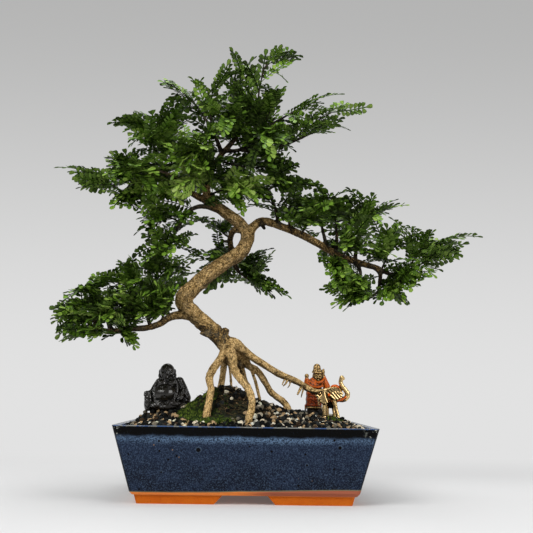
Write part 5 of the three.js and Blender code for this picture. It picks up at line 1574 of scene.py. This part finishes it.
# A standing figure in a hooded robe and a tall cap. Paint: 0 gold, 1 orange, 2 red-brown, 3 dark.
monkLook = {
    "finish": ("orangeGlaze", [((0.38, 0.245, 0.10), 0.8), ((0.50, 0.100, 0.010), 0.0),
                               ((0.33, 0.052, 0.008), 0.0), ((0.014, 0.010, 0.006), 0.1)],
               (0.020, 0.009, 0.003), 0.34),
    "bands": ((0, 6.6, 3.0), (6.6, 9.0, 0.0), (9.0, 25.0, 2.0)),
    "lumps": [((7.2, 0, 2.6), (4.6, 6.4, 4.4), 3), ((-5.8, -1.5, 36.5), (5.2, 5.2, 4.6), 1),
              ((7.4, 0, 37), (5.8, 5.6, 5), 1), ((4.6, 0.4, 44.6), (6.7, 5.4, 6.6), 1),
              ((4.4, -1.8, 44.4), (5.6, 4.9, 6.2), 0), ((3.6, -1, 50.6), (5.5, 5.2, 4.4), 0),
              ((3.4, -0.4, 54.4), (4.5, 4.4, 4.9), 0), ((4.4, -6.6, 43.4), (0.8, 1.1, 1.7), 0),
              ((4.4, -7.0, 42.7), (1.0, 0.9, 0.75), 0), ((4.4, -5.9, 40.7), (1.4, 0.8, 0.5), 0),
              ((4.4, -5.2, 44.4 - 6.2 * figureLook["chinDrop"]), (1.7, 1.2, 1.0), 0),
              ((1.9, -5.6, 42.4), (1.6, 1.1, 1.4), 0), ((6.9, -5.6, 42.4), (1.6, 1.1, 1.4), 0),
              ((-1.0, -1.6, 44.2), (0.9, 1.3, 2.2), 0), ((9.9, -1.6, 44.2), (0.9, 1.3, 2.2), 0),
              ((-9, -4, 44.6), (2.7, 2.7, 2.6), 0), ((10.8, -2, 49.6), (2.0, 2.1, 2.9), 0),
              ((11.0, -2, 52.0), (1.3, 1.4, 1.6), 0)],
    "limbs": [([(0.2, 0, -6, 9.4), (0.2, 0, 3.6, 9.2)], 3),
              ([(-0.2, 0, 11, 9.9), (-0.2, 0, 17, 9.8), (-0.1, 0, 24, 9.6)], 2),
              ([(0.2, 0, 28.6, 9.5), (0.4, 0, 33, 9.2), (0.6, 0, 36, 7.8)], 1),
              ([(-4, 0, 36, 4.4), (-8.4, -3, 37, 3.8), (-9, -4, 41, 2.5)], 1),
              ([(-9, -4, 41.6, 2.0), (-9, -4, 43.6, 2.2)], 0),
              ([(9.6, 0.4, 46.4, 3.2), (11.6, 0.4, 39.6, 4.2), (14.8, 0.4, 32.6, 4.6)], 1),
              ([(10.2, -1.6, 44.6, 1.8), (10.8, -2, 49, 1.8)], 0),
              ([(-10.2, -2.6, 0, 1.0), (-10.4, -2.6, 10.6, 1.0)], 0),
              ([(-1.8, -1.4, 49.2, 1.2), (0.6, -5.6, 48.6, 1.2), (4.2, -7.0, 48.4, 1.2),
                (7.8, -5.2, 48.6, 1.2), (9.6, -1, 49.2, 1.2)], 0),
              ([(-9.9, 1, 7.9, 1.1), (-7.4, -6.9, 7.8, 1.1), (-4, -9.0, 7.8, 1.1), (0, -9.8, 7.8, 1.1),
                (4, -9.0, 7.8, 1.1), (7.4, -6.6, 7.8, 1.1), (9.8, 1, 7.9, 1.1)], 0),
              ([(-2.2, -3.0, 40.4, 1.4), (1.2, -6.4, 37.6, 1.5), (4.6, -7.2, 37.0, 1.5),
                (8.6, -5.6, 38.2, 1.5), (11.4, -2.6, 41.2, 1.4)], 1),
              ([(-9.2, -3, 31, 1.5), (-4, -8.2, 28.0, 1.5), (2, -9.2, 26.8, 1.5), (8, -7.4, 27.6, 1.5),
                (11.6, -3, 29.6, 1.5)], 1),
              ([(-7, -6.4, 35, 1.3), (-2, -8.8, 32.0, 1.3), (4, -9.2, 31.4, 1.3), (10, -6.4, 33, 1.3)], 1)],
    "back": robeBackStrokes,
    "front": [(0.6, -0.34, (1.2, 44.4), (2.2, 44.1), (3.2, 44.3)),
              (0.6, -0.34, (5.6, 44.3), (6.6, 44.1), (7.6, 44.4)),
              (0.7, 0.28, (0.9, 45.9), (2.2, 46.4), (3.4, 46.0)),
              (0.7, 0.28, (5.4, 46.0), (6.6, 46.4), (7.9, 45.9)),
              (0.5, -0.32, (2.8, 40.75), (4.4, 40.65), (6.0, 40.75)),
              (0.7, -0.3, (1.0, 57), (1.4, 52.6), (0.8, 50.6)),
              (0.7, -0.3, (5.8, 57), (6.0, 52.8), (6.8, 50.6)), (0.8, -0.45, (-5, 37), (-3.6, 34.4)),
              (0.8, -0.45, (10.4, 36.6), (12.2, 32), (12.4, 29)),
              (0.6, -0.5, (-6, 22.6), (-3.6, 23.6), (-1.4, 22.4), (0.8, 23.4), (3.4, 22.4)),
              (0.6, -0.5, (-6.8, 19.4), (-5.2, 21), (-3.2, 20.2), (-1.8, 18.8)),
              (0.6, -0.5, (-1.0, 20.6), (1.4, 19.4), (4, 20.4), (6, 19)),
              (0.6, -0.5, (-6.6, 16.2), (-4.4, 17), (-2.4, 15.8), (0.2, 16.8), (2.6, 15.6), (5.8, 16.4)),
              (0.6, -0.5, (-6.2, 12.8), (-4.6, 11.8), (-2.6, 13), (-1, 11.8)),
              (0.6, -0.5, (0.8, 12.8), (3, 11.6), (5.2, 13), (7, 12)),
              (0.6, -0.5, (-0.6, 14.4), (1.6, 13.6), (3.4, 14.4)), (0.6, -0.4, (-10.6, 45.2), (-7.6, 45.4)),
              (0.6, -0.4, (-10.6, 43.9), (-7.6, 44.1))],
}
makeFigure("robedMonk", "monk", monkLook)

# A small elephant facing right with its trunk raised. Paint: 0 gold, 1 orange, 2 dark, used for the eye and
# as painted shade under the belly and between the legs.
elephantStrokes = [(0.5, -0.22, (16.4, 29.6), (21.0, 31.0)), (0.5, -0.22, (13.2, 33.8), (17.6, 36.0)),
                   (0.5, -0.22, (10.2, 38.0), (15, 38.6)), (0.6, -0.4, (-9.6, 2.0), (-5, 2.2)),
                   (0.6, -0.4, (6.4, 2.0), (11, 2.0))]
elephantLook = {
    "finish": ("goldPaint", [((0.82, 0.57, 0.255), 0.9), ((0.62, 0.110, 0.010), 0.0),
                             ((0.010, 0.010, 0.007), 0.1)], (0.022, 0.013, 0.005), 0.13),
    "front": elephantStrokes,
    "back": elephantStrokes,
    "lumps": [((-4, 0, 24.6), (10.6, 6.6, 8.4), 0), ((1.4, 0, 27.6), (8, 6.0, 7), 0),
              ((6.8, 0, 27.6), (6.9, 5.6, 7.4), 0), ((1.6, 0, 19.4), (8, 5.0, 4.2), 2),
              # the two dark lumps under the body are painted shade on the belly and between the legs
              ((1.0, 1.5, 15.6), (4.4, 3.4, 5.4), 2), ((5.2, -0.4, 34.0), (5.2, 4.6, 3.4), 1),
              ((-2.4, -7.4, 25.5), (1.5, 1.0, 2.0), 1), ((-10.4, 0, 23.6), (4.6, 5.8, 7.4), 0),
              ((10.6, -4.9, 30.0), (0.9, 0.7, 0.8), 2), ((13.0, 0, 45.4), (2.7, 2.6, 2.3), 0),
              ((15.2, 0, 44.0), (1.5, 1.7, 1.5), 0)],
    "limbs": [([(10.4, 0, 21.6, 4.2), (13.4, 0, 20.4, 3.2), (16.6, 0, 21.2, 3.2), (19.3, 0, 24.0, 3.1),
                (19.6, 0, 27.4, 3.0), (16.7, 0, 31.6, 2.8), (13.2, 0, 35.5, 2.7), (11.5, 0, 39.8, 2.5),
                (12.4, 0, 43.6, 2.6)], 0),
              ([(7.0, -4.8, 19.4, 1.3), (12.0, -3.9, 20.0, 1.4), (16.8, -2.9, 23.4, 1.2)], 1),
              ([(7.0, 4.8, 19.4, 1.3), (12.0, 3.9, 20.0, 1.4), (16.8, 2.9, 23.4, 1.2)], 1),
              ([(-7.5, -4.2, 20, 2.6), (-7.5, -4.4, 9.6, 2.2), (-7.2, -4.4, 0, 2.4)], 0),
              ([(-2.6, 2.6, 20, 2.3), (-2.8, 2.8, 9.6, 1.75), (-3.0, 2.8, 0, 1.9)], 0),
              ([(2.4, 4.2, 18, 2.3), (3.9, 4.2, 8.7, 1.6), (5.5, 4.2, 0, 1.7)], 0),
              ([(4.0, -4.2, 18.6, 2.6), (6.2, -4.4, 8.7, 2.2), (8.4, -4.4, 0, 2.3)], 0),
              ([(-12.6, 2.5, 25, 1.2), (-13.2, 3.4, 20, 0.9), (-12.8, 3, 14, 1.0)], 0)]
    + [([(-9.2 + 0.3 * share, side * 6.0, 28.4, 1.1),
         (endX * 0.5 - 4.6, side * 7.0, 22 + 0.12 * endX + 1.4, 1.1), (endX, side * 7.2, endZ, 1.35)], 0)
       for side in (-1, 1)
       for share, endX, endZ in ((0, -15.6, 24.4), (1, -13.8, 20.6), (2, -11.6, 17.8), (3, -9.2, 16.4),
                                 (4, -6.8, 16.0), (5, -4.6, 17.2))]
    + [([(topX, side * 5.2, topZ, 1.2), (topX + 4.6, side * 6.6, topZ - 4.4, 1.25),
         (endX, side * 6.0, endZ, 1.4)], 0) for side in (-1, 1)
       for topX, topZ, endX, endZ in ((-6.4, 30.4, 4.0, 20.6), (-3.4, 32.0, 7.0, 20.8),
                                      (-0.6, 33.2, 9.6, 22.4), (2.4, 33.4, 11.6, 24.4),
                                      (5.4, 33.0, 12.8, 27.2))],
}
makeFigure("goldElephant", "elephant", elephantLook)

print("finishing")
